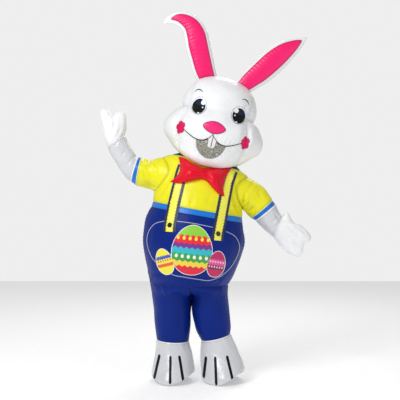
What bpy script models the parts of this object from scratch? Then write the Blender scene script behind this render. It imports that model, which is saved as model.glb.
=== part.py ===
# Inflatable easter bunny costume, blown up as it is worn: head, ears, shirt, overalls, gloves, shoe covers.
# Units are metres. The origin lies midway between the wearer's shoulders; +Z is up, the face looks along -Y.
# The tables are in millimetres: across (+X), forward (towards the viewer, -Y) and up (above the floor).
import math

import bmesh
import bpy
import numpy as np
from mathutils import Matrix
from mathutils.bvhtree import BVHTree

MM = 0.001
SHOULDER_ACROSS = 34.5
SHOULDER_UP = 1400.0
WALL = 2.0
SEAM = 0.3
LIFT = 0.45
APPLIQUE = 1.5

# Rings of the body from the hips to the neck. roll leans a ring clockwise as seen from the front, in degrees.
# Columns: across, up, roll, half width, front, back.
TORSO_ROWS = [
    (-71.5, 622.5, 1.5, 253, 238, 225),
    (-56.5, 700.0, 2.0, 281, 296, 243),
    (-48.8, 790.0, 3.0, 308, 334, 258),
    (-41.6, 882.5, 4.0, 328, 346, 266),
    (-37.0, 950.8, 6.0, 327, 342, 266),
    (-33.8, 1012.5, 8.0, 315, 327, 260),
    (-19.5, 1067.8, 10.0, 299, 308, 250),
    (-15.6, 1101.6, 10.0, 292, 294, 243),
    (-11.7, 1158.8, 10.8, 291, 273, 232),
    (6.5, 1253.0, 12.0, 291, 240, 212),
    (22.8, 1318.0, 12.8, 293, 208, 190),
    (34.5, 1371.0, 13.4, 285, 178, 168),
    (42.9, 1403.0, 13.7, 228, 160, 152),
    (55.3, 1425.3, 13.7, 186, 154, 149),
]
HIP_ROW = 0
BELT_LOW_ROW = 6
BELT_HIGH_ROW = 7
ARMPIT_ROW = 8.05
SHOULDER_ROW = 11.05
BAND_ROW = 12
NECK_ROW = 13
BODY_COLUMNS = 12
ARMHOLE_STEPS = 8
ARMHOLE_HALF_ANGLE = math.radians(40)

# Rings of the head, measured along its own leaning axis from the line between the eyes.
# Columns: shift, height, half width, front, back, chin drop, seam's half width, depth of the seam's groove.
HEAD_ACROSS = 123.5
HEAD_UP = 1741.2
HEAD_ROLL = math.radians(13.7)
HEAD_ROWS = [
    (8.5, -320.0, 186, 154, 149, 0, 156, 0.0),
    (5.0, -318, 198, 196, 172, 58, 160, 0.0),
    (1.0, -290, 238, 250, 206, 58, 184, 0.05),
    (0.0, -252, 276, 266, 224, 44, 196, 0.09),
    (0.0, -221, 309, 278, 234, 32, 202, 0.12),
    (0.0, -182, 325, 294, 240, 18, 206, 0.14),
    (0.0, -143, 324, 300, 242, 6, 206, 0.14),
    (0.0, -104, 306, 292, 240, 0, 199, 0.12),
    (0.0, -58, 274, 266, 238, 0, 190, 0.08),
    (0.0, -29, 236, 249, 236, 0, 187, 0.03),
    (0.0, 0, 238, 242, 236, 0, 187, 0.02),
    (0.0, 33, 239, 236, 235, 0, 190, 0.02),
    (0.0, 66, 231, 229, 231, 0, 192, 0.02),
    (0.0, 100, 216, 215, 220, 0, 192, 0.01),
    (-2.0, 133, 199, 193, 200, 0, 186, 0.0),
    (-5.0, 164, 172, 158, 166, 0, 172, 0.0),
    (-8.0, 187, 138, 117, 124, 0, 138, 0.0),
    (-11.0, 202, 98, 70, 74, 0, 98, 0.0),
    (-14.0, 207, 62, 0, 0, 0, 62, 0.0),
]
PINCH_ROW = 9
TEMPLE_TOP_ROW = 15
CROWN_ROW = 18
VALLEY_WIDTH = 24.0
WINDOW_SHARE = 0.46
WINDOW_DEPTH = 97.0
SMILE_REACH = 205.0

# Ears: centre line and half width of each, from the root to the tip. Columns: across, up, half width.
EAR_ROWS = {
    "ear_r": [
        (49.4, 1940.7, 64), (26.3, 2006.7, 73), (5.5, 2088.2, 77), (-12.4, 2163.0, 80), (-26.6, 2231.2, 77),
        (-61.1, 2295.6, 66), (-128.7, 2335.2, 50), (-195.0, 2328.8, 28), (-243.1, 2302.1, 0),
    ],
    "ear_l": [
        (268.5, 1886.8, 53), (321.8, 1933.6, 68), (390.7, 1988.8, 80), (473.8, 2062.2, 83),
        (546.0, 2120.8, 72),
        (604.5, 2159.8, 53), (653.2, 2190.3, 30), (696.8, 2216.3, 0),
    ],
}
EAR_THICKNESS_SHARE = 0.5
EAR_LINING_SHARE = 0.76
EAR_LINING_END = {"ear_r": 6.9, "ear_l": 6.1}
EAR_FORWARD = 20.0
EAR_STEPS = 12
EAR_ROOT_SEARCH = (-0.8, 2.5)
EAR_THIN_SHARE = 0.3
EAR_ROOT_STEP = 0.3
LINING_TIP_GAP = 1.5
LINING_TAPER = 6

# Arm rings from the shoulder to the wrist. lean turns a ring's upper end towards +X, in degrees.
# Columns: across, forward, up, lean, half height, half depth.
SLEEVE_ROWS = {
    "r": [
        (-299.6, 4, 1330.3, 8, 100, 104), (-344.5, 4, 1329.7, 8, 88, 98), (-395.9, 5, 1347.2, 11.6, 91, 92),
    ],
    "l": [
        (354.5, 14, 1160.7, 30.6, 100, 104), (378.7, 20, 1130.3, 41, 95, 98), (398.4, 25, 1103.5, 50, 89, 92),
    ],
}
BAND_END_ROW = {"r": (-423.1, 7, 1360.2, 16.3, 82, 84), "l": (422.9, 30, 1081.9, 51, 82, 83)}
FOREARM_ROWS = {
    "r": [
        (-448.2, 9, 1376.5, 28.9, 72, 78), (-481.0, 12, 1429.2, 57, 66, 72),
        (-524.9, 16, 1500.0, 59.6, 67, 70), (-542.8, 18, 1542.2, 54.7, 65, 66),
    ],
    "l": [(460.0, 35, 1029.0, 47.5, 72, 75), (480.0, 38, 1007.0, 34, 70, 70), (497.0, 42, 988.0, 20, 68, 67)],
}
ARM_SIDES = 16

# Outline of each glove, from the upper end of its wrist ring round the fingers to the lower end.
GLOVE_OUTLINE = {
    "r": [
        (-475.8, 1621.7), (-477.8, 1664.4), (-480.4, 1705.8), (-492.0, 1733.0), (-516.6, 1738.2),
        (-540.6, 1728.5), (-557.4, 1708.4), (-579.4, 1725.2), (-602.1, 1749.2), (-628.0, 1753.7),
        (-645.5, 1734.9),
        (-639.0, 1679.9), (-630.6, 1613.9), (-612.4, 1545.9),
    ],
    "l": [
        (534.0, 1073.0), (552.0, 1084.0), (568.0, 1076.0), (585.0, 1040.6),
        (612.7, 1011.7), (644.8, 1003.4), (687.2, 962.9), (710.3, 930.8), (706.4, 896.1), (674.3, 883.3),
        (662.8, 857.6), (660.2, 826.8), (633.2, 795.9), (592.1, 808.8), (553.6, 828.1), (510.5, 868.5),
    ],
}
CUFF_GAP = 0.4
GLOVE_STEPS = 5
GLOVE_HEEL = {"r": 0.0, "l": 5.0}
GLOVE_FORWARD = {"r": 24.0, "l": 62.0}

# Trouser leg rings below the hip ring. Columns: across, up, roll, half width, front, back.
LEG_ROWS = {
    "r": [
        (-126.8, 590.0, 2.0, 190, 214, 205), (-182.6, 548.0, 2.0, 126.5, 166, 160),
        (-180.8, 470.0, 2.0, 121, 146, 140), (-178.1, 382.0, 2.0, 117, 130, 124),
        (-177.0, 310.0, 2.4, 111, 118, 114), (-176.1, 253.3, 2.7, 103, 110, 106),
    ],
    "l": [
        (-3.2, 590.0, 1.0, 181, 212, 203), (63.0, 548.0, 0.0, 116.5, 164, 158),
        (69.5, 470.0, 0.0, 119, 144, 138), (78.3, 382.0, -2.0, 117, 129, 123),
        (87.1, 324.8, -6.0, 112, 119, 115), (102.0, 274.8, -13.0, 96, 111, 107),
    ],
}
CROTCH_ROW = 2.0
CENTRE_PLANE_HIP = -71.5
CENTRE_PLANE_CROTCH = -54.5

# Shoe covers: rings from the trouser hem to the open sole. The turn swings the toe outwards, lift raises the
# sides, and the tilt raises the sole most at the tilt angle (0 is the wearer's left, 90 degrees the toe).
# Columns: across, forward, up, roll, half width, front, back, lift.
SHOE_ROWS = {
    "foot_r": [
        (-176.1, 0, 253.3, 2.7, 103, 110, 106, 0), (-172.0, 6, 170.0, 2.0, 118, 132, 112, 0),
        (-173.0, 22, 90.0, 1.0, 131, 160, 120, 4), (-173.5, 34, 25.0, 0.0, 139, 181, 124, 12),
        (-173.5, 34, 2.5, 0.0, 134, 180, 122, 26),
    ],
    "foot_l": [
        (102.0, 0, 274.8, -13.0, 96, 111, 107, 0), (118.0, 8, 180.0, -8.0, 117, 134, 112, 0),
        (136.0, 24, 95.0, -3.0, 133, 163, 128, 5), (147.5, 36, 30.0, 0.0, 137.5, 184, 132, 8),
        (147.0, 36, 2.5, 0.0, 136, 183, 130, 14),
    ],
}
SHOE_TURN = {"foot_r": math.radians(2), "foot_l": math.radians(3)}
SHOE_TILT = {"foot_r": 36.0, "foot_l": 66.0}
SHOE_TILT_ANGLE = math.radians(33)
SHOE_TILT_POWER = 2.0
SHOE_SIDES = 20

# Bow tie: lower, middle and upper point of each column (across, up), and how far it puffs out.
BOW_ROWS = [
    (-188.6, 1277.8, -129.4, 1340.7, -138.6, 1437.0, 2), (-132.5, 1265.1, -92.4, 1346.9, -98.6, 1429.0, 44),
    (-57.9, 1277.8, -49.3, 1340.7, -49.3, 1397.0, 56), (10.6, 1290.6, 14.5, 1334.5, 13.4, 1366.0, 44),
    (46.3, 1272.5, 52.5, 1322.2, 54.5, 1361.0, 42), (80.1, 1232.9, 89.3, 1303.7, 98.6, 1361.0, 54),
    (117.1, 1197.9, 120.2, 1285.2, 152.1, 1364.0, 44), (152.1, 1184.8, 152.1, 1279.1, 205.0, 1366.0, 2),
]
BOW_STEPS = (14, 7)
BOW_EDGE = 3.0
BOW_ROUND = 0.6
BOW_LIFT = 1.2
BOW_WRAP = math.radians(45)

# Braces: centre line (across, up) of each, from the neck band to the end below its button.
STRAP_ROWS = {
    "suspender_r": [
        (-101.0, 1376.0), (-115.4, 1330.0), (-133.0, 1257.6), (-162.0, 1130.0), (-184.0, 1008.0),
        (-186.0, 968.0),
    ],
    "suspender_l": [
        (203.0, 1349.0), (188.0, 1310.0), (171.3, 1257.6), (141.0, 1110.0), (110.0, 955.0), (106.0, 915.0),
    ],
}
STRAP_HALF_WIDTH = 35.0
STRAP_STEPS = 18
BUTTON_POINTS = {"button_r": (-184.0, 1008.0), "button_l": (110.0, 955.0)}
BUTTON_RADIUS = 16.0
BUTTON_THICKNESS = 5.0
BUTTON_EDGE = 0.86
BUTTON_CLEARANCE = 0.4

# Back zip: tape, slider and pull tab.
ZIP_TAPE_HALF_WIDTH = 14.0
ZIP_ROWS = (0.7, 11.4)
ZIP_STEPS = 22
ZIP_SLIDER_ROW = 11.1
ZIP_SLIDER = (10.0, 17.0, 4.0)
ZIP_BRIDGE = (3.0, 13.0, 1.6, 3.6)
ZIP_PULL = (10.0, 6.0, 34.0, 1.6)
ZIP_PULL_EYE = -10.0
ZIP_CLEARANCE = 0.3

NOSE_CENTRE = (-2.6, -141.0)
NOSE_HALF_SIZE = (72.0, 39.0)
NOSE_CROWN = 7.0
NOSE_TAPER = 0.28
FLOWER_CENTRES = {"cheek_flower_r": (-207.0, -180.0), "cheek_flower_l": (207.0, -180.0)}
FLOWER_HALF_SIZE = (28.0, 42.0)
FLOWER_PETALS = 5
PETAL_DEPTH = 0.22
TOOTH_CENTRE = 4.0
TOOTH_SIZE = (25.0, 70.0)
TOOTH_TAPER = 5.0
TOOTH_ROUND = 12.0
TOOTH_OVERLAP = 3.0
TOOTH_GAP = 2.0

WHITE = (0.86, 0.87, 0.88, 1.0)
YELLOW = (0.86, 0.83, 0.03, 1.0)
BLUE = (0.005, 0.22, 0.75, 1.0)
NAVY = (0.006, 0.02, 0.2, 1.0)
PINK = (1.0, 0.03, 0.22, 1.0)
RED = (0.85, 0.004, 0.015, 1.0)
SILVER = (0.62, 0.63, 0.66, 1.0)
GREY = (0.3, 0.3, 0.27, 1.0)
BLACK = (0.01, 0.01, 0.012, 1.0)
METAL = (0.6, 0.6, 0.62, 1.0)


def smooth_rows(rows, position):
    """Values of a table at fractional row positions, on a cubic curve through its rows."""
    table = np.array(rows, float)
    position = np.clip(np.asarray(position, float), 0, len(table) - 1)
    before = np.clip(np.floor(position).astype(int), 0, len(table) - 2)
    share = (position - before)[..., None]
    slope = np.gradient(table, axis=0)
    a, b = table[before], table[before + 1]
    da, db = slope[before], slope[before + 1]
    square, cube = share**2, share**3
    start, end = 2 * cube - 3 * square + 1, -2 * cube + 3 * square
    return start * a + end * b + (cube - 2 * square + share) * da + (cube - square) * db


def place(across, forward, up):
    """Points in metres about the shoulders, from table millimetres."""
    across, forward, up = np.broadcast_arrays(across, forward, up)
    return np.stack([across - SHOULDER_ACROSS, -forward, up - SHOULDER_UP], axis=-1) * MM


def torso(angle, row):
    """The body's surface: angle 0 is the wearer's left side, 90 degrees the front, 180 the right side."""
    across, up, roll, half_width, front, back = np.moveaxis(smooth_rows(TORSO_ROWS, row), -1, 0)
    side, out, roll = half_width * np.cos(angle), np.sin(angle), np.radians(roll)
    forward = np.where(out >= 0, front, back) * out
    return place(across + side * np.cos(roll), forward, up - side * np.sin(roll))


def torso_front(across, up):
    """The body's surface below a point of the front view, as (angle, row)."""
    low, high = np.zeros(np.shape(across)), np.full(np.shape(across), float(NECK_ROW))
    for _ in range(40):
        row = (low + high) / 2
        centre_across, centre_up, roll = np.moveaxis(smooth_rows(TORSO_ROWS, row), -1, 0)[:3]
        roll = np.radians(roll)
        above = (across - centre_across) * np.sin(roll) + (up - centre_up) * np.cos(roll) > 0
        low, high = np.where(above, row, low), np.where(above, high, row)
    side = (across - centre_across) * np.cos(roll) - (up - centre_up) * np.sin(roll)
    half_width = smooth_rows(TORSO_ROWS, row)[..., 3]
    return np.arccos(np.clip(side / half_width, -1, 1)), row


def head_to_front(right, height):
    """(across, up) of a point given along the head's own axes."""
    across = HEAD_ACROSS + right * math.cos(HEAD_ROLL) + height * math.sin(HEAD_ROLL)
    up = HEAD_UP - right * math.sin(HEAD_ROLL) + height * math.cos(HEAD_ROLL)
    return np.stack([across, up], axis=-1)


def head_point(right, forward, height):
    """Points given along the head's own leaning axes."""
    flat = head_to_front(right, height)
    return place(flat[..., 0], forward, flat[..., 1])


def head(angle, row):
    """The head's surface, with a groove along the seam of each cheek and the chin dropped in front."""
    values = np.moveaxis(smooth_rows(HEAD_ROWS, row), -1, 0)
    shift, height, half_width, front, back, drop, seam, valley = values
    side, out = half_width * np.cos(angle), np.sin(angle)
    groove = 1 - valley * np.exp(-(((np.abs(side) - seam) / VALLEY_WIDTH) ** 2))
    forward = np.where(out >= 0, front, back) * out * groove
    return head_point(shift + side, forward, height - np.where(out > 0, drop, 0) * out**2)


def head_front(right, height):
    """The head's surface below a point of its front view, as (angle, row)."""
    low, high = np.full(np.shape(right), 1.0), np.full(np.shape(right), float(CROWN_ROW))
    for _ in range(40):
        row = (low + high) / 2
        shift, level, half_width, _, _, drop = np.moveaxis(smooth_rows(HEAD_ROWS, row), -1, 0)[:6]
        share = np.clip((right - shift) / half_width, -1, 1)
        above = height > level - drop * (1 - share**2)
        low, high = np.where(above, row, low), np.where(above, high, row)
    return np.arccos(share), row


def strip_angle(share, row, back=False):
    """Angle on the head at a share (-1 right seam, 1 left seam) of the strip between its two seams."""
    half_width, seam = smooth_rows(HEAD_ROWS, row)[..., 2], smooth_rows(HEAD_ROWS, row)[..., 6]
    angle = np.arccos(np.clip(share * np.minimum(seam / half_width, 1.0), -1, 1))
    return -angle if back else angle


def outward(surface, u, v):
    """Unit normals of a surface that encloses the garment's inside, by small differences."""
    step = 1e-4
    v = np.clip(v, 0.03, (NECK_ROW if surface is torso else CROWN_ROW) - 0.03)
    along = surface(u + step, v) - surface(u - step, v)
    up = surface(u, v + step) - surface(u, v - step)
    normal = np.cross(up, along)
    normal /= np.maximum(np.linalg.norm(normal, axis=-1, keepdims=True), 1e-15)
    if surface is head:
        crown_way = (math.sin(HEAD_ROLL), 0.0, math.cos(HEAD_ROLL))
        normal = np.where((v >= CROWN_ROW - 0.03)[..., None], crown_way, normal)
    return normal


def trimmed(grid, edges):
    """A grid of points with the named edges drawn back by half a seam's gap."""
    grid = grid.copy()
    sides = {"first": (0, 1, 0), "last": (-1, -2, 0), "left": (0, 1, 1), "right": (-1, -2, 1)}
    for name in edges:
        edge, inside, axis = sides[name]
        lines = grid if axis == 0 else grid.swapaxes(0, 1)
        away = lines[inside] - lines[edge]
        if np.ptp(lines[edge], axis=0).max() < 1e-6:
            away = np.broadcast_to(away.mean(axis=0), away.shape)
        size = np.maximum(np.linalg.norm(away, axis=-1, keepdims=True), 1e-12)
        lines[edge] += away / size * SEAM / 2 * MM
    return grid


def material(name, colour, roughness, metallic=0.0):
    made = bpy.data.materials.new(name)
    made.use_nodes = True
    shader = made.node_tree.nodes["Principled BSDF"]
    shader.inputs["Base Color"].default_value = colour
    shader.inputs["Roughness"].default_value = roughness
    shader.inputs["Metallic"].default_value = metallic
    return made


def add_object(name, bm, finish):
    """One closed solid from a bmesh, its doubles merged and its faces turned outwards."""
    bmesh.ops.remove_doubles(bm, verts=bm.verts, dist=1e-6)
    bmesh.ops.recalc_face_normals(bm, faces=bm.faces)
    mesh = bpy.data.meshes.new(name)
    bm.to_mesh(mesh)
    bm.free()
    mesh.shade_smooth()
    mesh.materials.append(finish)
    made = bpy.data.objects.new(name, mesh)
    COSTUME.objects.link(made)
    return made


def add_wall(name, outer, inner, finish, ring=False, closed_end=False):
    """A cloth wall between two grids of points. A ring's columns close on themselves."""
    rows, columns = outer.shape[:2]
    bm = bmesh.new()
    skins = [[[bm.verts.new(point) for point in line] for line in skin] for skin in (outer, inner)]
    spans = columns if ring else columns - 1
    for i in range(rows - 1):
        for j in range(spans):
            k = (j + 1) % columns
            for skin in skins:
                bm.faces.new((skin[i][j], skin[i][k], skin[i + 1][k], skin[i + 1][j]))
    front, rear = skins
    for i in (0,) if closed_end else (0, rows - 1):
        for j in range(spans):
            k = (j + 1) % columns
            bm.faces.new((front[i][j], front[i][k], rear[i][k], rear[i][j]))
    for j in () if ring else (0, columns - 1):
        for i in range(rows - 1):
            bm.faces.new((front[i][j], front[i + 1][j], rear[i + 1][j], rear[i][j]))
    return add_object(name, bm, finish)


def add_panel(name, surface, u, v, finish, edges=("first", "last", "left", "right"), ring=False):
    """A sewn panel on a surface, its wall thickness going inwards."""
    points = surface(u, v)
    inner = points - outward(surface, u, v) * WALL * MM
    return add_wall(name, trimmed(points, edges), trimmed(inner, edges), finish, ring=ring)


def skin_tree(names):
    """The faces of finished panels, for finding where a piece rests on them."""
    points, triangles = [], []
    for name in names:
        mesh = bpy.data.objects[name].data
        mesh.calc_loop_triangles()
        base = len(points)
        points += [vertex.co.copy() for vertex in mesh.vertices]
        triangles += [tuple(base + i for i in face.vertices) for face in mesh.loop_triangles]
    return BVHTree.FromPolygons(points, triangles, all_triangles=True)


def grid_quads(rows, columns, ring=False):
    index = np.arange(rows * columns).reshape(rows, columns)
    beside = np.roll(index, -1, axis=1)
    if not ring:
        index, beside = index[:, :-1], beside[:, :-1]
    return np.stack([index[:-1], index[1:], beside[1:], beside[:-1]], axis=-1).reshape(-1, 4)


def settle(flat, quads, names, side=1):
    """How far out (mm) a piece's points lie so that it rests on panels: in front (1) or behind (side -1)."""
    tree = skin_tree(names)
    s, t = (part.ravel() for part in np.meshgrid(np.linspace(0, 1, 7), np.linspace(0, 1, 7)))
    weights = []
    for fold in (0, 1):
        if fold:
            near, far = np.minimum(s, t), np.abs(s - t)
            first = 1 - np.maximum(s, t)
            weights.append(np.stack([first, np.where(s > t, far, 0), near, np.where(s > t, 0, far)], axis=1))
        else:
            low = s + t <= 1
            corners = (np.where(low, 1 - s - t, 0), np.where(low, s, 1 - t))
            corners += (np.where(low, 0, s + t - 1), np.where(low, t, 1 - s))
            weights.append(np.stack(corners, axis=1))
    even = np.stack([(1 - s) * (1 - t), s * (1 - t), s * t, (1 - s) * t], axis=1)
    places = np.einsum("kc,qcd->qkd", even, flat[quads])
    needed = np.full(places.shape[:2], -1e3)
    for q in range(places.shape[0]):
        for k in range(places.shape[1]):
            x, z = (places[q, k, 0] - SHOULDER_ACROSS) * MM, (places[q, k, 1] - SHOULDER_UP) * MM
            hit = tree.ray_cast((x, -side, z), (0, side, 0))[0]
            if hit is not None:
                needed[q, k] = -side * hit[1] / MM
    height = np.full(len(flat), -1e3)
    for corner, sample in enumerate(((0, 0), (1, 0), (1, 1), (0, 1))):
        k = int(np.argmin((s - sample[0]) ** 2 + (t - sample[1]) ** 2))
        np.maximum.at(height, quads[:, corner], needed[:, k])
    height = np.where(height < 0, np.median(height[height > 0]), height)
    for _ in range(60):
        short = np.maximum(*[(needed - height[quads] @ weight.T).max(axis=1) for weight in weights])
        if short.max() < 0.02:
            break
        rise = np.zeros(len(flat))
        np.maximum.at(rise, quads.ravel(), np.repeat(np.maximum(short, 0), 4) * 0.6)
        height += rise
    return height


def between(low, high, steps):
    """steps + 1 lines of row positions from low to high."""
    return low + (high - low) * np.linspace(0, 1, steps + 1)[:, None]


def armhole(turn, side):
    """(angle, row) round an armhole: turn 0 is the shoulder and half a turn the armpit, front first."""
    middle, reach = (SHOULDER_ROW + ARMPIT_ROW) / 2, (SHOULDER_ROW - ARMPIT_ROW) / 2
    swing = ARMHOLE_HALF_ANGLE * np.sin(turn)
    return (swing if side == "l" else math.pi - swing), middle + reach * np.cos(turn)


def body_rows(low_row, high_row):
    """Rows of the shirt: even ones, and through the armholes the rows of the sleeves' points."""
    turns = np.linspace(math.pi, 0, ARMHOLE_STEPS + 1)
    hole = armhole(turns, "l")[1]
    below = np.linspace(low_row, ARMPIT_ROW, 3)[:-1]
    above = np.linspace(SHOULDER_ROW, high_row, 3)[1:]
    return np.concatenate([below, hole, above])


def make_body():
    share = np.linspace(0, 1, BODY_COLUMNS + 1)
    rows = body_rows(BELT_HIGH_ROW, BAND_ROW)
    middle, reach = (SHOULDER_ROW + ARMPIT_ROW) / 2, (SHOULDER_ROW - ARMPIT_ROW) / 2
    cut = ARMHOLE_HALF_ANGLE * np.sqrt(np.clip(1 - ((rows - middle) / reach) ** 2, 0, 1))
    row_grid = np.repeat(rows[:, None], BODY_COLUMNS + 1, axis=1)
    angle = cut[:, None] + (math.pi - 2 * cut[:, None]) * share
    add_panel("shirt_front", torso, angle, row_grid, CLOTH["yellow"])
    add_panel("shirt_back", torso, -angle[:, ::-1], row_grid, CLOTH["yellow"])
    whole = math.pi * share
    for name, low, high, steps, finish in (
        ("belt", BELT_LOW_ROW, BELT_HIGH_ROW, 1, "blue"),
        ("overalls", HIP_ROW, BELT_LOW_ROW, 8, "navy"),
    ):
        angles, levels = np.meshgrid(whole, np.linspace(low, high, steps + 1))
        add_panel(name + "_front", torso, angles, levels, CLOTH[finish])
        add_panel(name + "_back", torso, -angles[:, ::-1], levels, CLOTH[finish])
    turn = np.linspace(0, 2 * math.pi, 2 * BODY_COLUMNS, endpoint=False)
    angles, levels = np.meshgrid(turn, np.linspace(BAND_ROW, NECK_ROW, 2))
    add_panel("neck_band", torso, angles, levels, CLOTH["teal"], edges=("first", "last"), ring=True)


def leg_ring(side, row, angle, inset):
    """A point of a trouser leg: rings that start as the whole hip ring and draw in to one leg."""
    rows = [TORSO_ROWS[HIP_ROW]] + LEG_ROWS[side]
    across, up, roll, half_width, front, back = np.moveaxis(smooth_rows(rows, row), -1, 0)
    out, roll = np.sin(angle), np.radians(roll)
    reach = (half_width - inset) * np.cos(angle)
    forward = (np.where(out >= 0, front, back) - inset) * out
    return place(across + reach * np.cos(roll), forward, up - reach * np.sin(roll))


def centre_cut(side, row):
    """Angle at which a leg's ring meets the plane between the legs; below the crotch the ring is whole."""
    rows = [TORSO_ROWS[HIP_ROW]] + LEG_ROWS[side]
    across, _, _, half_width = np.moveaxis(smooth_rows(rows, row), -1, 0)[:4]
    drop = np.clip(row / CROTCH_ROW, 0, 1)
    plane = CENTRE_PLANE_HIP + (CENTRE_PLANE_CROTCH - CENTRE_PLANE_HIP) * drop
    share = np.where(row >= CROTCH_ROW, 1.0 if side == "r" else -1.0, (plane - across) / half_width)
    return np.arccos(np.clip(share, -1, 1))


def make_legs():
    levels = np.concatenate([np.linspace(0, CROTCH_ROW, 4), np.linspace(CROTCH_ROW, 6, 6)[1:]])
    share = np.linspace(0, 1, BODY_COLUMNS // 2 + 1)
    for side in ("r", "l"):
        cut = centre_cut(side, levels)[:, None]
        outer_end = math.pi if side == "r" else 0.0
        angle = cut + (outer_end - cut) * share
        row = np.repeat(levels[:, None], len(share), axis=1)
        for face, turned in (("front", angle), ("back", -angle)):
            edges = ("first", "last", "left", "right")
            outer = trimmed(leg_ring(side, row, turned, 0.0), edges)
            inner = trimmed(leg_ring(side, row, turned, WALL), edges)
            add_wall(f"leg_{face}_{side}", outer, inner, CLOTH["navy"])


def make_shoes():
    turn = np.linspace(0, 2 * math.pi, SHOE_SIDES, endpoint=False)
    angle, row = np.meshgrid(turn, np.linspace(0, 4, 6))
    for name, rows in SHOE_ROWS.items():
        across, ahead, up, roll, half_width, front, back, lift = np.moveaxis(smooth_rows(rows, row), -1, 0)
        roll, out = np.radians(roll), np.sin(angle)
        tilt = np.clip(np.cos(angle - SHOE_TILT_ANGLE), 0, 1) ** SHOE_TILT_POWER * (1 - up / rows[0][2])
        rise = lift * np.cos(angle) ** 2 + SHOE_TILT[name] * tilt
        skins = []
        for inset in (0.0, WALL):
            side = (half_width - inset) * np.cos(angle)
            forward = (np.where(out >= 0, front, back) - inset) * out
            swing = SHOE_TURN[name] * row / 4
            x = across + side * np.cos(roll) * np.cos(swing) + forward * np.sin(swing)
            y = ahead + forward * np.cos(swing) - side * np.sin(swing)
            skins.append(trimmed(place(x, y, up - side * np.sin(roll) + rise), ("first",)))
        add_wall(name, skins[0], skins[1], CLOTH["silver"], ring=True)


def arm_ring(row_values, turn, inset):
    """Points round one arm ring: turn 0 is its upper end, a quarter turn its front."""
    across, ahead, up, lean, half_height, half_depth = row_values
    lean = math.radians(lean)
    rise = (half_height - inset) * np.cos(turn)
    forward = ahead + (half_depth - inset) * np.sin(turn)
    return place(across + rise * math.sin(lean), forward, up + rise * math.cos(lean))


def armhole_ring(side, turn, inset):
    """Points of a sleeve's head, just outside the shirt's armhole."""
    ring = torso(*armhole(turn, side))
    centre = ring.mean(axis=0)
    inward = centre - ring
    inward /= np.linalg.norm(inward, axis=-1, keepdims=True)
    start = np.array([(-1 if side == "r" else 1) * SEAM * MM, 0, 0])
    return ring + start + inward * inset * MM


def loft(rings, steps):
    """Rings blended on a smooth curve through the given ones, steps between each two."""
    position = np.linspace(0, len(rings) - 1, (len(rings) - 1) * steps + 1)
    flat = np.array(rings).reshape(len(rings), -1)
    return smooth_rows(flat, position).reshape(len(position), -1, 3)


def make_arms():
    turn = np.linspace(0, 2 * math.pi, ARM_SIDES, endpoint=False)
    for side in ("r", "l"):
        skins = []
        for inset in (0.0, WALL):
            given = [armhole_ring(side, turn, inset)]
            given += [arm_ring(row, turn, inset) for row in SLEEVE_ROWS[side]]
            sleeve = loft(given, 3)
            band_rows = (SLEEVE_ROWS[side][-1], BAND_END_ROW[side])
            band = loft([arm_ring(row, turn, inset) for row in band_rows], 1)
            rest = [BAND_END_ROW[side]] + FOREARM_ROWS[side]
            forearm = loft([arm_ring(row, turn, inset) for row in rest], 2)
            both = ("first", "last")
            skins.append((trimmed(sleeve, ("last",)), trimmed(band, both), trimmed(forearm, both)))
        names = (f"sleeve_{side}", f"sleeve_band_{side}", f"forearm_{side}")
        for name, outer, inner, finish in zip(names, *skins, ("yellow", "blue", "silver")):
            add_wall(name, outer, inner, CLOTH[finish], ring=True)


def inset_line(line, distance):
    """An open polyline moved sideways (to its right) by a distance, its corners mitred."""
    along = np.diff(line, axis=0)
    along /= np.linalg.norm(along, axis=1, keepdims=True)
    normal = np.stack([along[:, 1], -along[:, 0]], axis=1)
    before, after = np.vstack([normal[:1], normal]), np.vstack([normal, normal[-1:]])
    middle = before + after
    middle /= np.linalg.norm(middle, axis=1, keepdims=True)
    stretch = 1 / np.maximum((middle * before).sum(axis=1, keepdims=True), 0.5)
    return line + middle * stretch * distance


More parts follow.
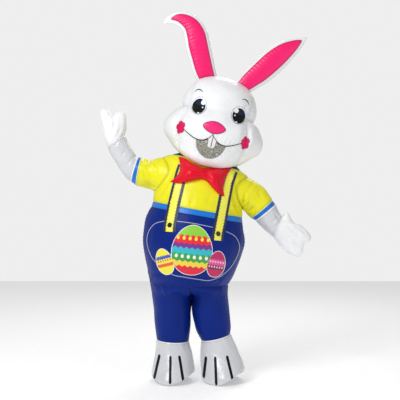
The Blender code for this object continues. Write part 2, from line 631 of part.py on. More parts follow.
def make_gloves():
    width = np.sin(np.linspace(0, math.pi / 2, GLOVE_STEPS + 1))[:, None, None]
    for side, clockwise in (("r", -1), ("l", 1)):
        wrist = FOREARM_ROWS[side][-1]
        outline = np.array(GLOVE_OUTLINE[side])
        count = len(outline)
        turn = np.linspace(0, math.pi, count)
        reach = outline.mean(axis=0) - np.array([wrist[0], wrist[2]])
        reach /= np.linalg.norm(reach)
        moved = (wrist[0] + reach[0] * CUFF_GAP, wrist[1], wrist[2] + reach[1] * CUFF_GAP) + wrist[3:]
        near_thumb = np.clip(1 - np.arange(count) / 4, 0, 1)
        bow = (GLOVE_HEEL[side] * near_thumb[:, None] * reach)[None] * 4 * width * (1 - width)
        flats, rises = [], []
        for inset in (0.0, WALL):
            cuff = arm_ring(moved, turn, inset)
            cuff_flat = cuff[:, [0, 2]] / MM + np.array([SHOULDER_ACROSS, SHOULDER_UP])
            edge = outline if not inset else inner_edge
            flat = cuff_flat + (edge - cuff_flat) * width + bow
            if inset:
                flat[1:, 0], flat[1:, -1] = rim[1 : GLOVE_STEPS + 1], rim[-GLOVE_STEPS - 1 : -1][::-1]
            else:
                border = np.vstack([flat[:, 0], outline[1:-1], flat[::-1, -1]])
                rim = inset_line(border, clockwise * WALL)
                inner_edge = rim[GLOVE_STEPS : GLOVE_STEPS + count]
            fullness = np.clip(np.sin(turn), 0, 1)[None, :] ** (1 - 0.45 * width[..., 0])
            rise = wrist[5] * np.sqrt(1 - width[..., 0] ** 2) * fullness
            rises.append(np.maximum(rise - inset * fullness**0.5, 0.35 * rise))
            flats.append(flat)
        base = wrist[1] + (GLOVE_FORWARD[side] - wrist[1]) * width[..., 0]
        skins = []
        for flat, rise in zip(flats, rises):
            front = place(flat[..., 0], base + rise, flat[..., 1])
            back = place(flat[..., 0], base - rise, flat[..., 1])
            skins.append(np.concatenate([front, back[:, -2:0:-1]], axis=1))
        outer, inner = (trimmed(skin, ("first",)) for skin in skins)
        add_wall(f"glove_{side}", outer, inner, CLOTH["white"], ring=True, closed_end=True)


def make_head():
    window = -WINDOW_SHARE * np.cos(np.linspace(0, math.pi, 11))
    cheek = np.linspace(-1, -WINDOW_SHARE, 4)
    share = np.concatenate([cheek[:-1], window, -cheek[-2::-1]])
    reach = share * SMILE_REACH
    smile_row = head_front(reach, smile_height(reach))[1]
    corner = smile_height(WINDOW_SHARE * SMILE_REACH)
    cup_height = corner - WINDOW_DEPTH * np.sqrt(np.clip(1 - (share / WINDOW_SHARE) ** 2, 0, 1))
    inside = np.abs(share) < WINDOW_SHARE - 1e-6
    chin_row = np.where(inside, head_front(reach, cup_height)[1], smile_row)
    flat = np.ones(share.shape)
    chin_rows = between(0 * flat, chin_row, 5)
    lip_rows = between(smile_row, PINCH_ROW * flat, 4)
    brow_rows = between(PINCH_ROW * flat, TEMPLE_TOP_ROW * flat, 6)[1:]
    crown_rows = between(TEMPLE_TOP_ROW * flat, CROWN_ROW * flat, 3)[1:]
    face_rows = np.concatenate([lip_rows, brow_rows, crown_rows])
    add_panel("face_panel", head, strip_angle(share[None, :], face_rows), face_rows, CLOTH["white"])
    add_panel("chin_panel", head, strip_angle(share[None, :], chin_rows), chin_rows, CLOTH["white"])
    pane = np.where(np.abs(share) < WINDOW_SHARE + 1e-6)[0]
    pane_rows = between(chin_row[pane], smile_row[pane], 4)
    add_panel("mouth_window", head, strip_angle(share[None, pane], pane_rows), pane_rows, CLOTH["grey"])
    seam_rows = np.concatenate([chin_rows[:-1, 0], face_rows[:, 0]])
    back_share = np.linspace(1, -1, 10)[None, :]
    back_rows = np.repeat(seam_rows[:, None], 10, axis=1)
    add_panel("head_back", head, strip_angle(back_share, back_rows, back=True), back_rows, CLOTH["white"])
    side_share = np.linspace(-1, 1, 9)[None, :]
    for name, low, high in (("cheek", 0, PINCH_ROW), ("temple", PINCH_ROW, TEMPLE_TOP_ROW)):
        level = seam_rows[(seam_rows > low - 1e-6) & (seam_rows < high + 1e-6)][:, None]
        angle = strip_angle(np.ones((1, 1)), level) * side_share
        rows = np.repeat(level, 9, axis=1)
        add_panel(name + "_l", head, angle, rows, CLOTH["white"])
        add_panel(name + "_r", head, math.pi + angle, rows, CLOTH["white"])


def smile_height(right):
    """The mouth line: two sagging arcs that meet below the nose."""
    share = np.clip(np.abs(right) / 186.0, 0, 1.1)
    return -187 - 5 * share - 48 * np.sin(math.pi * np.minimum(share, 1) ** 0.76)


FACE_PANELS = ("face_panel", "chin_panel", "mouth_window", "cheek_r", "cheek_l")


def add_cover(name, flat, heights, normals, finish, crown=0.0, ring=False, closed_end=False):
    """A sewn-on piece: its back rests on the panels, its face lies a cloth's thickness further out."""
    low = place(flat[..., 0], heights + LIFT, flat[..., 1])
    high = low + normals * (APPLIQUE + np.asarray(crown)[..., None]) * MM
    return add_wall(name, high, low, finish, ring=ring, closed_end=closed_end)


def add_patch(name, centre, outline, finish, crown=0.0, rings=3):
    """A piece sewn on the face, from its outline to its centre."""
    share = np.linspace(1, 0, rings + 1)[:, None]
    local = np.array(centre) + outline[None, :, :] * share[..., None]
    flat = head_to_front(local[..., 0], local[..., 1])
    quads = grid_quads(*flat.shape[:2], ring=True)
    heights = settle(flat.reshape(-1, 2), quads, FACE_PANELS).reshape(flat.shape[:2])
    heights[-1] = heights[-1].max()
    angle, row = head_front(local[..., 0], local[..., 1])
    normals = outward(head, angle, row)
    normals[-1] = normals[-1].mean(axis=0)
    bulge = crown * (1 - share**2) * np.ones(flat.shape[:2])
    return add_cover(name, flat, heights, normals, finish, crown=bulge, ring=True, closed_end=True)


def make_face_pieces():
    turn = np.linspace(0, 2 * math.pi, 20, endpoint=False)
    wide, tall = NOSE_HALF_SIZE
    nose = np.stack([wide * np.cos(turn), tall * np.sin(turn) * (1 - NOSE_TAPER * np.cos(turn) ** 2)], axis=1)
    add_patch("nose", NOSE_CENTRE, nose, CLOTH["pink"], crown=NOSE_CROWN)
    petal = 1 - PETAL_DEPTH * np.cos(FLOWER_PETALS * turn / 2) ** 2
    wide, tall = FLOWER_HALF_SIZE
    flower = np.stack([wide * petal * np.cos(turn), tall * petal * np.sin(turn)], axis=1)
    for name, centre in FLOWER_CENTRES.items():
        add_patch(name, centre, flower, CLOTH["crimson"], rings=2)
    width, length = TOOTH_SIZE
    down, across = np.meshgrid(np.linspace(0, 1, 6), np.linspace(0, 1, 4), indexing="ij")
    for name, side in (("tooth_r", -1), ("tooth_l", 1)):
        right = TOOTH_CENTRE + side * (TOOTH_GAP / 2 + across * (width - TOOTH_TAPER * down))
        start = smile_height(right) + TOOTH_OVERLAP
        end = smile_height(TOOTH_CENTRE) - length + TOOTH_ROUND * across**3
        local = np.stack([right, start + (end - start) * down], axis=-1)
        flat = head_to_front(local[..., 0], local[..., 1])
        heights = settle(flat.reshape(-1, 2), grid_quads(6, 4), FACE_PANELS).reshape(6, 4)
        angle, row = head_front(local[..., 0], local[..., 1])
        add_cover(name, flat, heights, outward(head, angle, row), CLOTH["white"])


def ear_point(name, row, angle, inset):
    """An ear's puffed surface: ellipses across a bent centre line. Angle 0 is its left edge, 90 its front."""
    rows = EAR_ROWS[name]
    across, up, half_width = np.moveaxis(smooth_rows(rows, row), -1, 0)
    ahead, behind = smooth_rows(rows, np.asarray(row) + 0.02), smooth_rows(rows, np.asarray(row) - 0.02)
    lean = np.arctan2(ahead[..., 1] - behind[..., 1], ahead[..., 0] - behind[..., 0])
    full_depth = EAR_THICKNESS_SHARE * half_width
    depth = np.maximum(full_depth - inset, EAR_THIN_SHARE * full_depth)
    half_width = np.maximum(half_width - inset, EAR_THIN_SHARE * half_width)
    end = inset * np.clip(row / (len(rows) - 1), 0, 1) ** 8
    reach = half_width * np.cos(angle)
    x = across - end * np.cos(lean) + reach * np.sin(lean)
    return place(x, EAR_FORWARD + depth * np.sin(angle), up - end * np.sin(lean) - reach * np.cos(lean))


def ear_surface(name, row, angle, inset):
    """The ear's surface also below its first ring, where it runs straight on to the head."""
    lower = np.minimum(row, 0.0)[..., None]
    zero = np.zeros(np.shape(row))
    first = ear_point(name, zero, angle, inset)
    slope = (first - ear_point(name, zero + EAR_ROOT_STEP, angle, inset)) / EAR_ROOT_STEP
    return np.where(lower < 0, first - slope * lower, ear_point(name, np.maximum(row, 0), angle, inset))


def ear_root(name, angle, inset):
    """Row at which an ear's surface rises out of the head."""
    table = np.linspace(TEMPLE_TOP_ROW - 5, CROWN_ROW, 200)
    shift, height, half_width, front, back = np.moveaxis(smooth_rows(HEAD_ROWS, table), -1, 0)[:5]
    low, high = (np.full(np.shape(angle), end) for end in EAR_ROOT_SEARCH)
    for _ in range(40):
        row = (low + high) / 2
        point = ear_surface(name, row, angle, inset) / MM
        x, forward = point[..., 0] + SHOULDER_ACROSS - HEAD_ACROSS, -point[..., 1]
        z = point[..., 2] + SHOULDER_UP - HEAD_UP
        right = x * math.cos(HEAD_ROLL) - z * math.sin(HEAD_ROLL)
        level = x * math.sin(HEAD_ROLL) + z * math.cos(HEAD_ROLL) - 2.0 * SEAM
        wide = np.interp(level, height, half_width)
        deep = np.where(forward >= 0, np.interp(level, height, front), np.interp(level, height, back))
        out = ((right - np.interp(level, height, shift)) / wide) ** 2 + (forward / np.maximum(deep, 0.5)) ** 2
        inside = (out < 1) & (level < height[-1])
        low, high = np.where(inside, row, low), np.where(inside, high, row)
    return row


def ear_levels(name, tip):
    """Shares of an ear's length at which its outer edge has gone equally far."""
    rows = np.linspace(0, tip, 200)
    edges = [ear_point(name, rows, np.full(200, angle), 0.0) for angle in (0.0, math.pi)]
    travel = np.max([np.linalg.norm(np.diff(edge, axis=0), axis=1) for edge in edges], axis=0)
    gone = np.concatenate([[0], np.cumsum(travel)])
    return np.interp(np.linspace(0, gone[-1], EAR_STEPS + 1), gone, rows / tip)[:, None]


def make_ears():
    steps = EAR_STEPS
    for name, rows in EAR_ROWS.items():
        tip, lining_tip = len(rows) - 1.0, EAR_LINING_END[name]
        rise = ear_levels(name, tip)
        def lining_angle(share, row):
            taper = np.clip(1 - (np.maximum(row, 0) / lining_tip) ** LINING_TAPER, 0, 1)
            keep = EAR_LINING_SHARE * np.sqrt(taper)
            return np.arccos(np.clip(share * keep, -1, 1))
        def built(piece, grid, finish, edges):
            skins = [trimmed(grid(inset), edges) for inset in (0.0, WALL)]
            add_wall(f"{name[:3]}_{piece}_{name[-1]}", skins[0], skins[1], CLOTH[finish])
        def lining(inset):
            share = np.linspace(1, -1, 5)[None, :]
            root = ear_root(name, lining_angle(share, np.zeros((1, 1))), inset)
            row = root + (lining_tip - root) * rise
            grid = ear_surface(name, row, lining_angle(np.repeat(share, steps + 1, axis=0), row), inset)
            back = grid[-2].mean(axis=0) - grid[-1]
            grid[-1] += back / np.linalg.norm(back, axis=-1, keepdims=True) * LINING_TIP_GAP * MM
            return grid
        def back(inset):
            angle = np.linspace(0, -math.pi, 9)[None, :]
            root = ear_root(name, angle, inset)
            row = root + (tip - root) * rise
            return ear_surface(name, row, np.repeat(angle, steps + 1, axis=0), inset)
        def border(inset):
            halves = []
            for side in (1, -1):
                outer_angle = 0.0 if side == 1 else math.pi
                inner_angle = lining_angle(side * np.ones((1, 1)), np.zeros((1, 1)))
                outer_root = ear_root(name, np.full((1, 1), outer_angle), inset)
                ends = [ear_root(name, inner_angle, inset), outer_root]
                inner_row = ends[0] + (lining_tip - ends[0]) * rise
                outer_row = ends[1] + (tip - ends[1]) * rise
                share = np.linspace(0, 1, 3)[None, :]
                row = inner_row + (outer_row - inner_row) * share
                start = lining_angle(side * np.ones_like(inner_row), inner_row)
                angle = start + (outer_angle - start) * share
                angle[-1] = math.pi / 2
                halves.append(ear_surface(name, row, angle, inset))
            return np.concatenate([halves[0], halves[1][-2::-1]], axis=0)
        built("inner", lining, "pink", ("first", "last", "left", "right"))
        built("back", back, "white", ("first", "last", "left", "right"))
        built("rim", border, "white", ("first", "last", "left", "right"))


def make_bow():
    shape = (BOW_STEPS[0] + 1, BOW_STEPS[1] + 1)
    columns, levels = np.linspace(0, len(BOW_ROWS) - 1, shape[0]), np.linspace(0, 2, shape[1])
    along, rise = np.meshgrid(columns, levels, indexing="ij")
    values = smooth_rows(BOW_ROWS, along)
    weights = ((rise - 1) * (rise - 2) / 2, rise * (2 - rise), rise * (rise - 1) / 2)
    flat = sum(weight[..., None] * values[..., 2 * i : 2 * i + 2] for i, weight in enumerate(weights))
    names = ("shirt_front", "neck_band", "suspender_r", "suspender_l")
    heights = settle(flat.reshape(-1, 2), grid_quads(*shape), names).reshape(shape)
    angle, row = torso_front(flat[..., 0], flat[..., 1])
    angle = np.clip(angle, BOW_WRAP, math.pi - BOW_WRAP)
    back = np.maximum(heights, -torso(angle, np.minimum(row, SHOULDER_ROW))[..., 1] / MM) + BOW_LIFT
    puff = np.clip(values[..., 6], 0, None) * np.sin(math.pi * rise / 2) ** BOW_ROUND
    front = place(flat[..., 0], back + BOW_EDGE + puff, flat[..., 1])
    add_wall("bow_tie", front, place(flat[..., 0], back, flat[..., 1]), CLOTH["red"])


def make_braces():
    for name, line in STRAP_ROWS.items():
        middle = smooth_rows(line, np.linspace(0, len(line) - 1, STRAP_STEPS + 1))
        along = np.gradient(middle, axis=0)
        along /= np.linalg.norm(along, axis=1, keepdims=True)
        side = np.stack([-along[:, 1], along[:, 0]], axis=1)
        flat = middle[:, None, :] + side[:, None, :] * np.linspace(-1, 1, 3)[None, :, None] * STRAP_HALF_WIDTH
        names = ("shirt_front", "belt_front", "overalls_front")
        heights = settle(flat.reshape(-1, 2), grid_quads(STRAP_STEPS + 1, 3), names).reshape(flat.shape[:2])
        angle, row = torso_front(flat[..., 0], flat[..., 1])
        add_cover(name, flat, heights, outward(torso, angle, row), CLOTH["yellow"])
    for name, (across, up) in BUTTON_POINTS.items():
        angle, row = torso_front(np.array(across), np.array(up))
        normal = outward(torso, angle, row)
        centre = torso(angle, row)
        frame = np.array(facing_frame(normal, centre))
        turn = np.linspace(0, 2 * math.pi, 24)
        rim = np.stack([np.cos(turn), np.sin(turn)]) * BUTTON_RADIUS * MM
        tree = skin_tree((name.replace("button", "suspender"),))
        out = 0.0
        for x, y in np.hstack([rim, rim / 2]).T:
            point = centre + frame[:3, 0] * x + frame[:3, 1] * y + normal * 0.05
            reached = tree.ray_cast(tuple(point), tuple(-normal))[3]
            out = max(out, 0.05 - reached)
        centre = centre + normal * (out + (BUTTON_CLEARANCE + BUTTON_THICKNESS / 2) * MM)
        bm = bmesh.new()
        bmesh.ops.create_cone(bm, cap_ends=True, segments=16, radius1=BUTTON_RADIUS * MM,
                              radius2=BUTTON_RADIUS * BUTTON_EDGE * MM, depth=BUTTON_THICKNESS * MM)
        bm.transform(facing_frame(normal, centre))
        add_object(name, bm, CLOTH["black"])


def facing_frame(normal, centre, across=(1.0, 0.0, 0.0)):
    """Frame whose third axis is a surface's normal and whose first runs across."""
    third = np.array(normal)
    first = np.array(across) - third * np.dot(across, third)
    first /= np.linalg.norm(first)
    second = np.cross(third, first)
    frame = np.eye(4)
    frame[:3, 0], frame[:3, 1], frame[:3, 2], frame[:3, 3] = first, second, third, centre
    return Matrix(frame.tolist())


def add_blocks(name, blocks, frame, finish):
    """A solid of stacked bars that share a rectangle grid: each block is (low, high) corners in mm."""
    cuts = [sorted({corner[axis] for block in blocks for corner in block}) for axis in range(3)]
    def filled(cell):
        middle = [(cuts[k][cell[k]] + cuts[k][cell[k] + 1]) / 2 for k in range(3)]
        return any(all(low[k] < middle[k] < high[k] for k in range(3)) for low, high in blocks)
    cells = {cell for cell in np.ndindex(*[len(line) - 1 for line in cuts]) if filled(cell)}
    bm = bmesh.new()
    for cell in cells:
        for axis in range(3):
            for step in (0, 1):
                beside = list(cell)
                beside[axis] += 2 * step - 1
                if tuple(beside) in cells:
                    continue
                u, v = [k for k in range(3) if k != axis]
                corners = []
                for du, dv in ((0, 0), (1, 0), (1, 1), (0, 1)):
                    point = [0.0, 0.0, 0.0]
                    point[axis] = cuts[axis][cell[axis] + step] * MM
                    point[u], point[v] = cuts[u][cell[u] + du] * MM, cuts[v][cell[v] + dv] * MM
                    corners.append(bm.verts.new(point))
                bm.faces.new(corners)
    bmesh.ops.remove_doubles(bm, verts=bm.verts, dist=1e-7)
    bm.transform(frame)
    return add_object(name, bm, finish)


def make_zip():
    levels = np.linspace(*ZIP_ROWS, ZIP_STEPS + 1)
    across, up, roll = np.moveaxis(smooth_rows(TORSO_ROWS, levels), -1, 0)[:3]
    roll = np.radians(roll)
    share = np.linspace(-1, 1, 2) * ZIP_TAPE_HALF_WIDTH
    flat_across = across[:, None] + share * np.cos(roll)[:, None]
    flat = np.stack([flat_across, up[:, None] - share * np.sin(roll)[:, None]], axis=-1)
    names = ("shirt_back", "belt_back", "overalls_back")
    heights = settle(flat.reshape(-1, 2), grid_quads(*flat.shape[:2]), names, side=-1).reshape(flat.shape[:2])
    normals = outward(torso, np.full(flat.shape[:2], -math.pi / 2), np.repeat(levels[:, None], 2, axis=1))
    low = place(flat[..., 0], -heights - LIFT, flat[..., 1])
    add_wall("zip_tape", low + normals * APPLIQUE * MM, low, CLOTH["navy"])
    level = np.array(ZIP_SLIDER_ROW)
    angle = np.array(-math.pi / 2)
    normal = outward(torso, angle, level)
    rise = np.interp(ZIP_SLIDER_ROW, levels, heights.max(axis=1))
    base = torso(angle, level)
    base[1] = (rise + LIFT + APPLIQUE) * MM
    lean = math.radians(smooth_rows(TORSO_ROWS, level)[2])
    ahead_of_tape = base + normal * ZIP_CLEARANCE * MM
    frame = facing_frame(normal, ahead_of_tape, across=(-math.cos(lean), 0.0, math.sin(lean)))
    wide, tall, deep = (value / 2 for value in ZIP_SLIDER)
    bridge = (ZIP_BRIDGE[0] / 2, ZIP_BRIDGE[1] / 2)
    foot, rise = ZIP_BRIDGE[2], ZIP_BRIDGE[3]
    top = 2 * deep
    slider = [
        ((-wide, -tall, 0.0), (wide, tall, top)),
        ((-bridge[0], -bridge[1], top), (bridge[0], foot - bridge[1], top + rise)),
        ((-bridge[0], bridge[1] - foot, top), (bridge[0], bridge[1], top + rise)),
        ((-bridge[0], -bridge[1], top + rise), (bridge[0], bridge[1], top + rise + foot)),
    ]
    add_blocks("zip_slider", slider, frame, CLOTH["metal"])
    half, eye, thick = ZIP_PULL[0] / 2, ZIP_PULL[1] / 2, ZIP_PULL[3]
    axis = top + rise / 2
    bar, end = thick / 2, -ZIP_PULL[2]
    low, high = axis - thick / 2, axis + thick / 2
    pull = [
        ((-half, -bar, low), (half, bar, high)),
        ((-half, ZIP_PULL_EYE, low), (-eye, bar, high)),
        ((eye, ZIP_PULL_EYE, low), (half, bar, high)),
        ((-half, end, low), (half, ZIP_PULL_EYE, high)),
    ]
    add_blocks("zip_pull", pull, frame, CLOTH["metal"])


def clear_scene():
    for old in list(bpy.data.objects):
        bpy.data.objects.remove(old, do_unlink=True)


clear_scene()
COSTUME = bpy.data.collections.new("easter_bunny_costume")
bpy.context.scene.collection.children.link(COSTUME)
CLOTH = {
    "white": material("white_nylon", WHITE, 0.42),
    "yellow": material("yellow_nylon", YELLOW, 0.42),
    "blue": material("blue_nylon", BLUE, 0.42),
    "teal": material("neck_binding", (0.0, 0.08, 0.14, 1.0), 0.5),
    "navy": material("navy_nylon", NAVY, 0.42),
    "pink": material("pink_nylon", PINK, 0.4),
    "crimson": material("crimson_nylon", (0.8, 0.005, 0.12, 1.0), 0.45),
    "red": material("red_satin", RED, 0.35),
    "silver": material("silver_nylon", SILVER, 0.35),
    "grey": material("window_mesh", GREY, 0.8),
    "black": material("black_plastic", BLACK, 0.3),
    "metal": material("zip_metal", METAL, 0.3, 0.9),
}
make_body()
make_legs()
make_shoes()
make_arms()
make_gloves()
make_head()
make_face_pieces()
make_ears()
make_braces()
make_bow()
make_zip()
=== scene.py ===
import math

import bmesh
import bpy
import numpy as np
from mathutils.bvhtree import BVHTree
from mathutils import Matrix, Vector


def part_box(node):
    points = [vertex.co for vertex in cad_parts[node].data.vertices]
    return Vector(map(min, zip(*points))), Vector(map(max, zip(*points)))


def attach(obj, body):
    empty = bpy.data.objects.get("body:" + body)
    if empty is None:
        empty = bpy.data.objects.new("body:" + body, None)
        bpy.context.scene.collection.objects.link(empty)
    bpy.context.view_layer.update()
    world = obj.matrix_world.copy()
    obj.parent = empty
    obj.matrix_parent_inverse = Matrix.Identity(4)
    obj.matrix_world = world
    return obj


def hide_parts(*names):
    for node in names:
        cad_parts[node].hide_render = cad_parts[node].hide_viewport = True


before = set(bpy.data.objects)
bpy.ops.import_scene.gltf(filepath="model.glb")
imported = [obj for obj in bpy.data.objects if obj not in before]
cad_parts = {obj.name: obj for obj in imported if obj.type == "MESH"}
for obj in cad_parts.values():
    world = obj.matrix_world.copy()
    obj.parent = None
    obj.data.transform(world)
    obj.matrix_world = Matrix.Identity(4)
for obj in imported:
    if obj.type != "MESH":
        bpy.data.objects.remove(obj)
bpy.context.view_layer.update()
print("frame loaded:", len(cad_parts), "nodes")

mm, pi = 0.001, math.pi
shoulderAcross, shoulderUp = 34.5, 1400.0  # where the origin lies in the tables' millimetres
headAcross, headUp, headRoll = 123.5, 1741.2, math.radians(13.7)

# across, up, roll, half width, front, back: rings from the hips to the neck
torsoRings = [
    (-71.5, 622.5, 1.5, 253, 238, 225),
    (-56.5, 700.0, 2.0, 281, 296, 243),
    (-48.8, 790.0, 3.0, 308, 334, 258),
    (-41.6, 882.5, 4.0, 328, 346, 266),
    (-37.0, 950.8, 6.0, 327, 342, 266),
    (-33.8, 1012.5, 8.0, 315, 327, 260),
    (-19.5, 1067.8, 10.0, 299, 308, 250),
    (-15.6, 1101.6, 10.0, 292, 294, 243),
    (-11.7, 1158.8, 10.8, 291, 273, 232),
    (6.5, 1253.0, 12.0, 291, 240, 212),
    (22.8, 1318.0, 12.8, 293, 208, 190),
    (34.5, 1371.0, 13.4, 285, 178, 168),
    (42.9, 1403.0, 13.7, 228, 160, 152),
    (55.3, 1425.3, 13.7, 186, 154, 149),
]
beltLow, beltHigh, armpit, shoulder, bandRow, neckRow = 6.0, 7.0, 8.05, 11.05, 12.0, 13.0
armholeReach = math.radians(40)

# sideways shift, height, half width, front, back, chin drop, seam, depth of the seam's groove
headRings = [
    (8.5, -320.0, 186, 154, 149, 0, 156, 0.0),
    (5.0, -318, 198, 196, 172, 58, 160, 0.0),
    (1.0, -290, 238, 250, 206, 58, 184, 0.05),
    (0.0, -252, 276, 266, 224, 44, 196, 0.09),
    (0.0, -221, 309, 278, 234, 32, 202, 0.12),
    (0.0, -182, 325, 294, 240, 18, 206, 0.14),
    (0.0, -143, 324, 300, 242, 6, 206, 0.14),
    (0.0, -104, 306, 292, 240, 0, 199, 0.12),
    (0.0, -58, 274, 266, 238, 0, 190, 0.08),
    (0.0, -29, 236, 249, 236, 0, 187, 0.03),
    (0.0, 0, 238, 242, 236, 0, 187, 0.02),
    (0.0, 33, 239, 236, 235, 0, 190, 0.02),
    (0.0, 66, 231, 229, 231, 0, 192, 0.02),
    (0.0, 100, 216, 215, 220, 0, 192, 0.01),
    (-2.0, 133, 199, 193, 200, 0, 186, 0.0),
    (-5.0, 164, 172, 158, 166, 0, 172, 0.0),
    (-8.0, 187, 138, 117, 124, 0, 138, 0.0),
    (-11.0, 202, 98, 70, 74, 0, 98, 0.0),
    (-14.0, 207, 62, 0, 0, 0, 62, 0.0),
]
pinchRow, templeTop, crownRow = 9.0, 15.0, 18.0
grooveWidth, windowShare, windowDepth = 24.0, 0.46, 97.0
smile = {"reach": 205.0, "half": 186.0, "height": -187, "slope": 5, "deep": 48, "power": 0.76}


def smoothRows(rows, position):
    # cubic curve through a table's rows, at fractional row numbers
    table = np.array(rows, float)
    position = np.clip(np.asarray(position, float), 0, len(table) - 1)
    before = np.clip(np.floor(position).astype(int), 0, len(table) - 2)
    t = (position - before)[..., None]
    slope = np.gradient(table, axis=0)
    ends = (2 * t**3 - 3 * t**2 + 1) * table[before] + (3 * t**2 - 2 * t**3) * table[before + 1]
    return ends + (t**3 - 2 * t**2 + t) * slope[before] + (t**3 - t**2) * slope[before + 1]


def place(across, forward, up):
    # a table's millimetres to the frame's metres
    across, forward, up = np.broadcast_arrays(across, forward, up)
    return np.stack([across - shoulderAcross, -forward, up - shoulderUp], axis=-1) * mm


def torso(angle, row):
    # leaning ellipse: 0 is the wearer's left, 90 degrees the front
    across, up, roll, wide, front, back = np.moveaxis(smoothRows(torsoRings, row), -1, 0)
    side, out, roll = wide * np.cos(angle), np.sin(angle), np.radians(roll)
    forward = np.where(out >= 0, front, back) * out
    return place(across + side * np.cos(roll), forward, up - side * np.sin(roll))


def toFront(right, height):
    # the head's own axes to across and up
    across = headAcross + right * math.cos(headRoll) + height * math.sin(headRoll)
    return np.stack([across, headUp - right * math.sin(headRoll) + height * math.cos(headRoll)], axis=-1)


def head(angle, row):
    # leaning ellipse with a groove along each cheek seam and a chin that drops in front
    shift, height, wide, front, back, drop, seam, groove = np.moveaxis(smoothRows(headRings, row), -1, 0)
    side, out = wide * np.cos(angle), np.sin(angle)
    dent = 1 - groove * np.exp(-(((np.abs(side) - seam) / grooveWidth) ** 2))
    flat = toFront(shift + side, height - np.where(out > 0, drop, 0) * out**2)
    return place(flat[..., 0], np.where(out >= 0, front, back) * out * dent, flat[..., 1])


def headRow(right, height):
    # the row at which the head's front has a given height
    low, high = np.full(np.shape(right), 1.0), np.full(np.shape(right), crownRow)
    for _ in range(40):
        row = (low + high) / 2
        shift, level, wide, _, _, drop = np.moveaxis(smoothRows(headRings, row), -1, 0)[:6]
        above = height > level - drop * (1 - np.clip((right - shift) / wide, -1, 1) ** 2)
        low, high = np.where(above, row, low), np.where(above, high, row)
    return row


def stripAngle(share, row, back=False):
    # the angle at a share of the way from the head's middle to its seam
    rings = smoothRows(headRings, row)
    angle = np.arccos(np.clip(share * np.minimum(rings[..., 6] / rings[..., 2], 1.0), -1, 1))
    return -angle if back else angle


def smileHeight(right):
    # the mouth line: a sine arch that deepens toward the cheeks
    share = np.clip(np.abs(right) / smile["half"], 0, 1.1)
    arch = np.sin(pi * np.minimum(share, 1) ** smile["power"])
    return smile["height"] - smile["slope"] * share - smile["deep"] * arch


def linear(code):
    # a hex colour as linear light
    values = [int(code[i : i + 2], 16) / 255 for i in (1, 3, 5)]
    return tuple(v / 12.92 if v <= 0.04045 else ((v + 0.055) / 1.055) ** 2.4 for v in values) + (1.0,)


def shaded(colour, share):
    # each channel times the share, 1 at most
    return tuple(min(v * share, 1.0) for v in colour[:3]) + (1.0,)


class Nodes:
    # a material, and short ways to add and join its shader nodes
    def __init__(self, name, **shaderValues):
        self.material = bpy.data.materials.new(name)
        self.material.use_nodes = True
        self.tree = self.material.node_tree
        self.shader = self.tree.nodes["Principled BSDF"]
        self.paint(**shaderValues)

    def feed(self, socket, value):
        # a number or a colour is set on the socket, and a node's output is joined to it
        if isinstance(value, (int, float, tuple)):
            socket.default_value = value
        else:
            self.tree.links.new(value, socket)

    def paint(self, **shaderValues):
        for key, value in shaderValues.items():
            self.feed(self.shader.inputs[key.replace("_", " ")], value)

    def add(self, kind, **values):
        node = self.tree.nodes.new("ShaderNode" + kind)
        for key, value in values.items():
            self.feed(node.inputs[key], value)
        return node

    def where(self, output):
        return self.add("TexCoord").outputs[output]

    def noise(self, scale, detail, distortion=0.0):
        values = {"Scale": scale, "Detail": detail, "Distortion": distortion}
        return self.add("TexNoise", Vector=self.where("Object"), **values).outputs["Fac"]

    def math(self, operation, *values, clamp=False):
        node = self.tree.nodes.new("ShaderNodeMath")
        node.operation, node.use_clamp = operation, clamp
        for socket, value in zip(node.inputs, values):
            self.feed(socket, value)
        return node.outputs[0]

    def plus(self, a, b):
        return self.math("ADD", a, b)

    def times(self, a, b):
        return self.math("MULTIPLY", a, b)

    def under(self, a, b):
        return self.math("LESS_THAN", a, b)

    def over(self, a, b):
        return self.math("GREATER_THAN", a, b)

    def middle(self, value, step):
        # -0.5 to 0.5 within each step
        return self.math("SUBTRACT", self.math("FRACT", self.math("DIVIDE", value, step)), 0.5)

    def squares(self, a, b):
        return self.plus(self.math("POWER", a, 2.0), self.math("POWER", b, 2.0))

    def mix(self, share, a, b):
        node = self.tree.nodes.new("ShaderNodeMix")
        node.data_type = "RGBA"
        for key, value in (("Factor", share), (6, a), (7, b)):
            self.feed(node.inputs[key], value)
        return node.outputs[2]

    def attribute(self, name):
        node = self.tree.nodes.new("ShaderNodeAttribute")
        node.attribute_name = name
        return node.outputs["Fac"]

    def bump(self, height, strength, distance):
        node = self.add("Bump", Height=height, Strength=strength, Distance=distance)
        self.paint(Normal=node.outputs["Normal"])


taffeta = {
    "patches": 12.0, "crinkles": 85.0, "billows": 26.0, "dark": 0.86, "light": 1.1, "seamShadeFade": 0.02,
    "stitchIn": 0.006, "stitchHalf": 0.0006, "stitchStep": 0.0042, "stitchShare": 0.72, "threads": 2000.0,
}


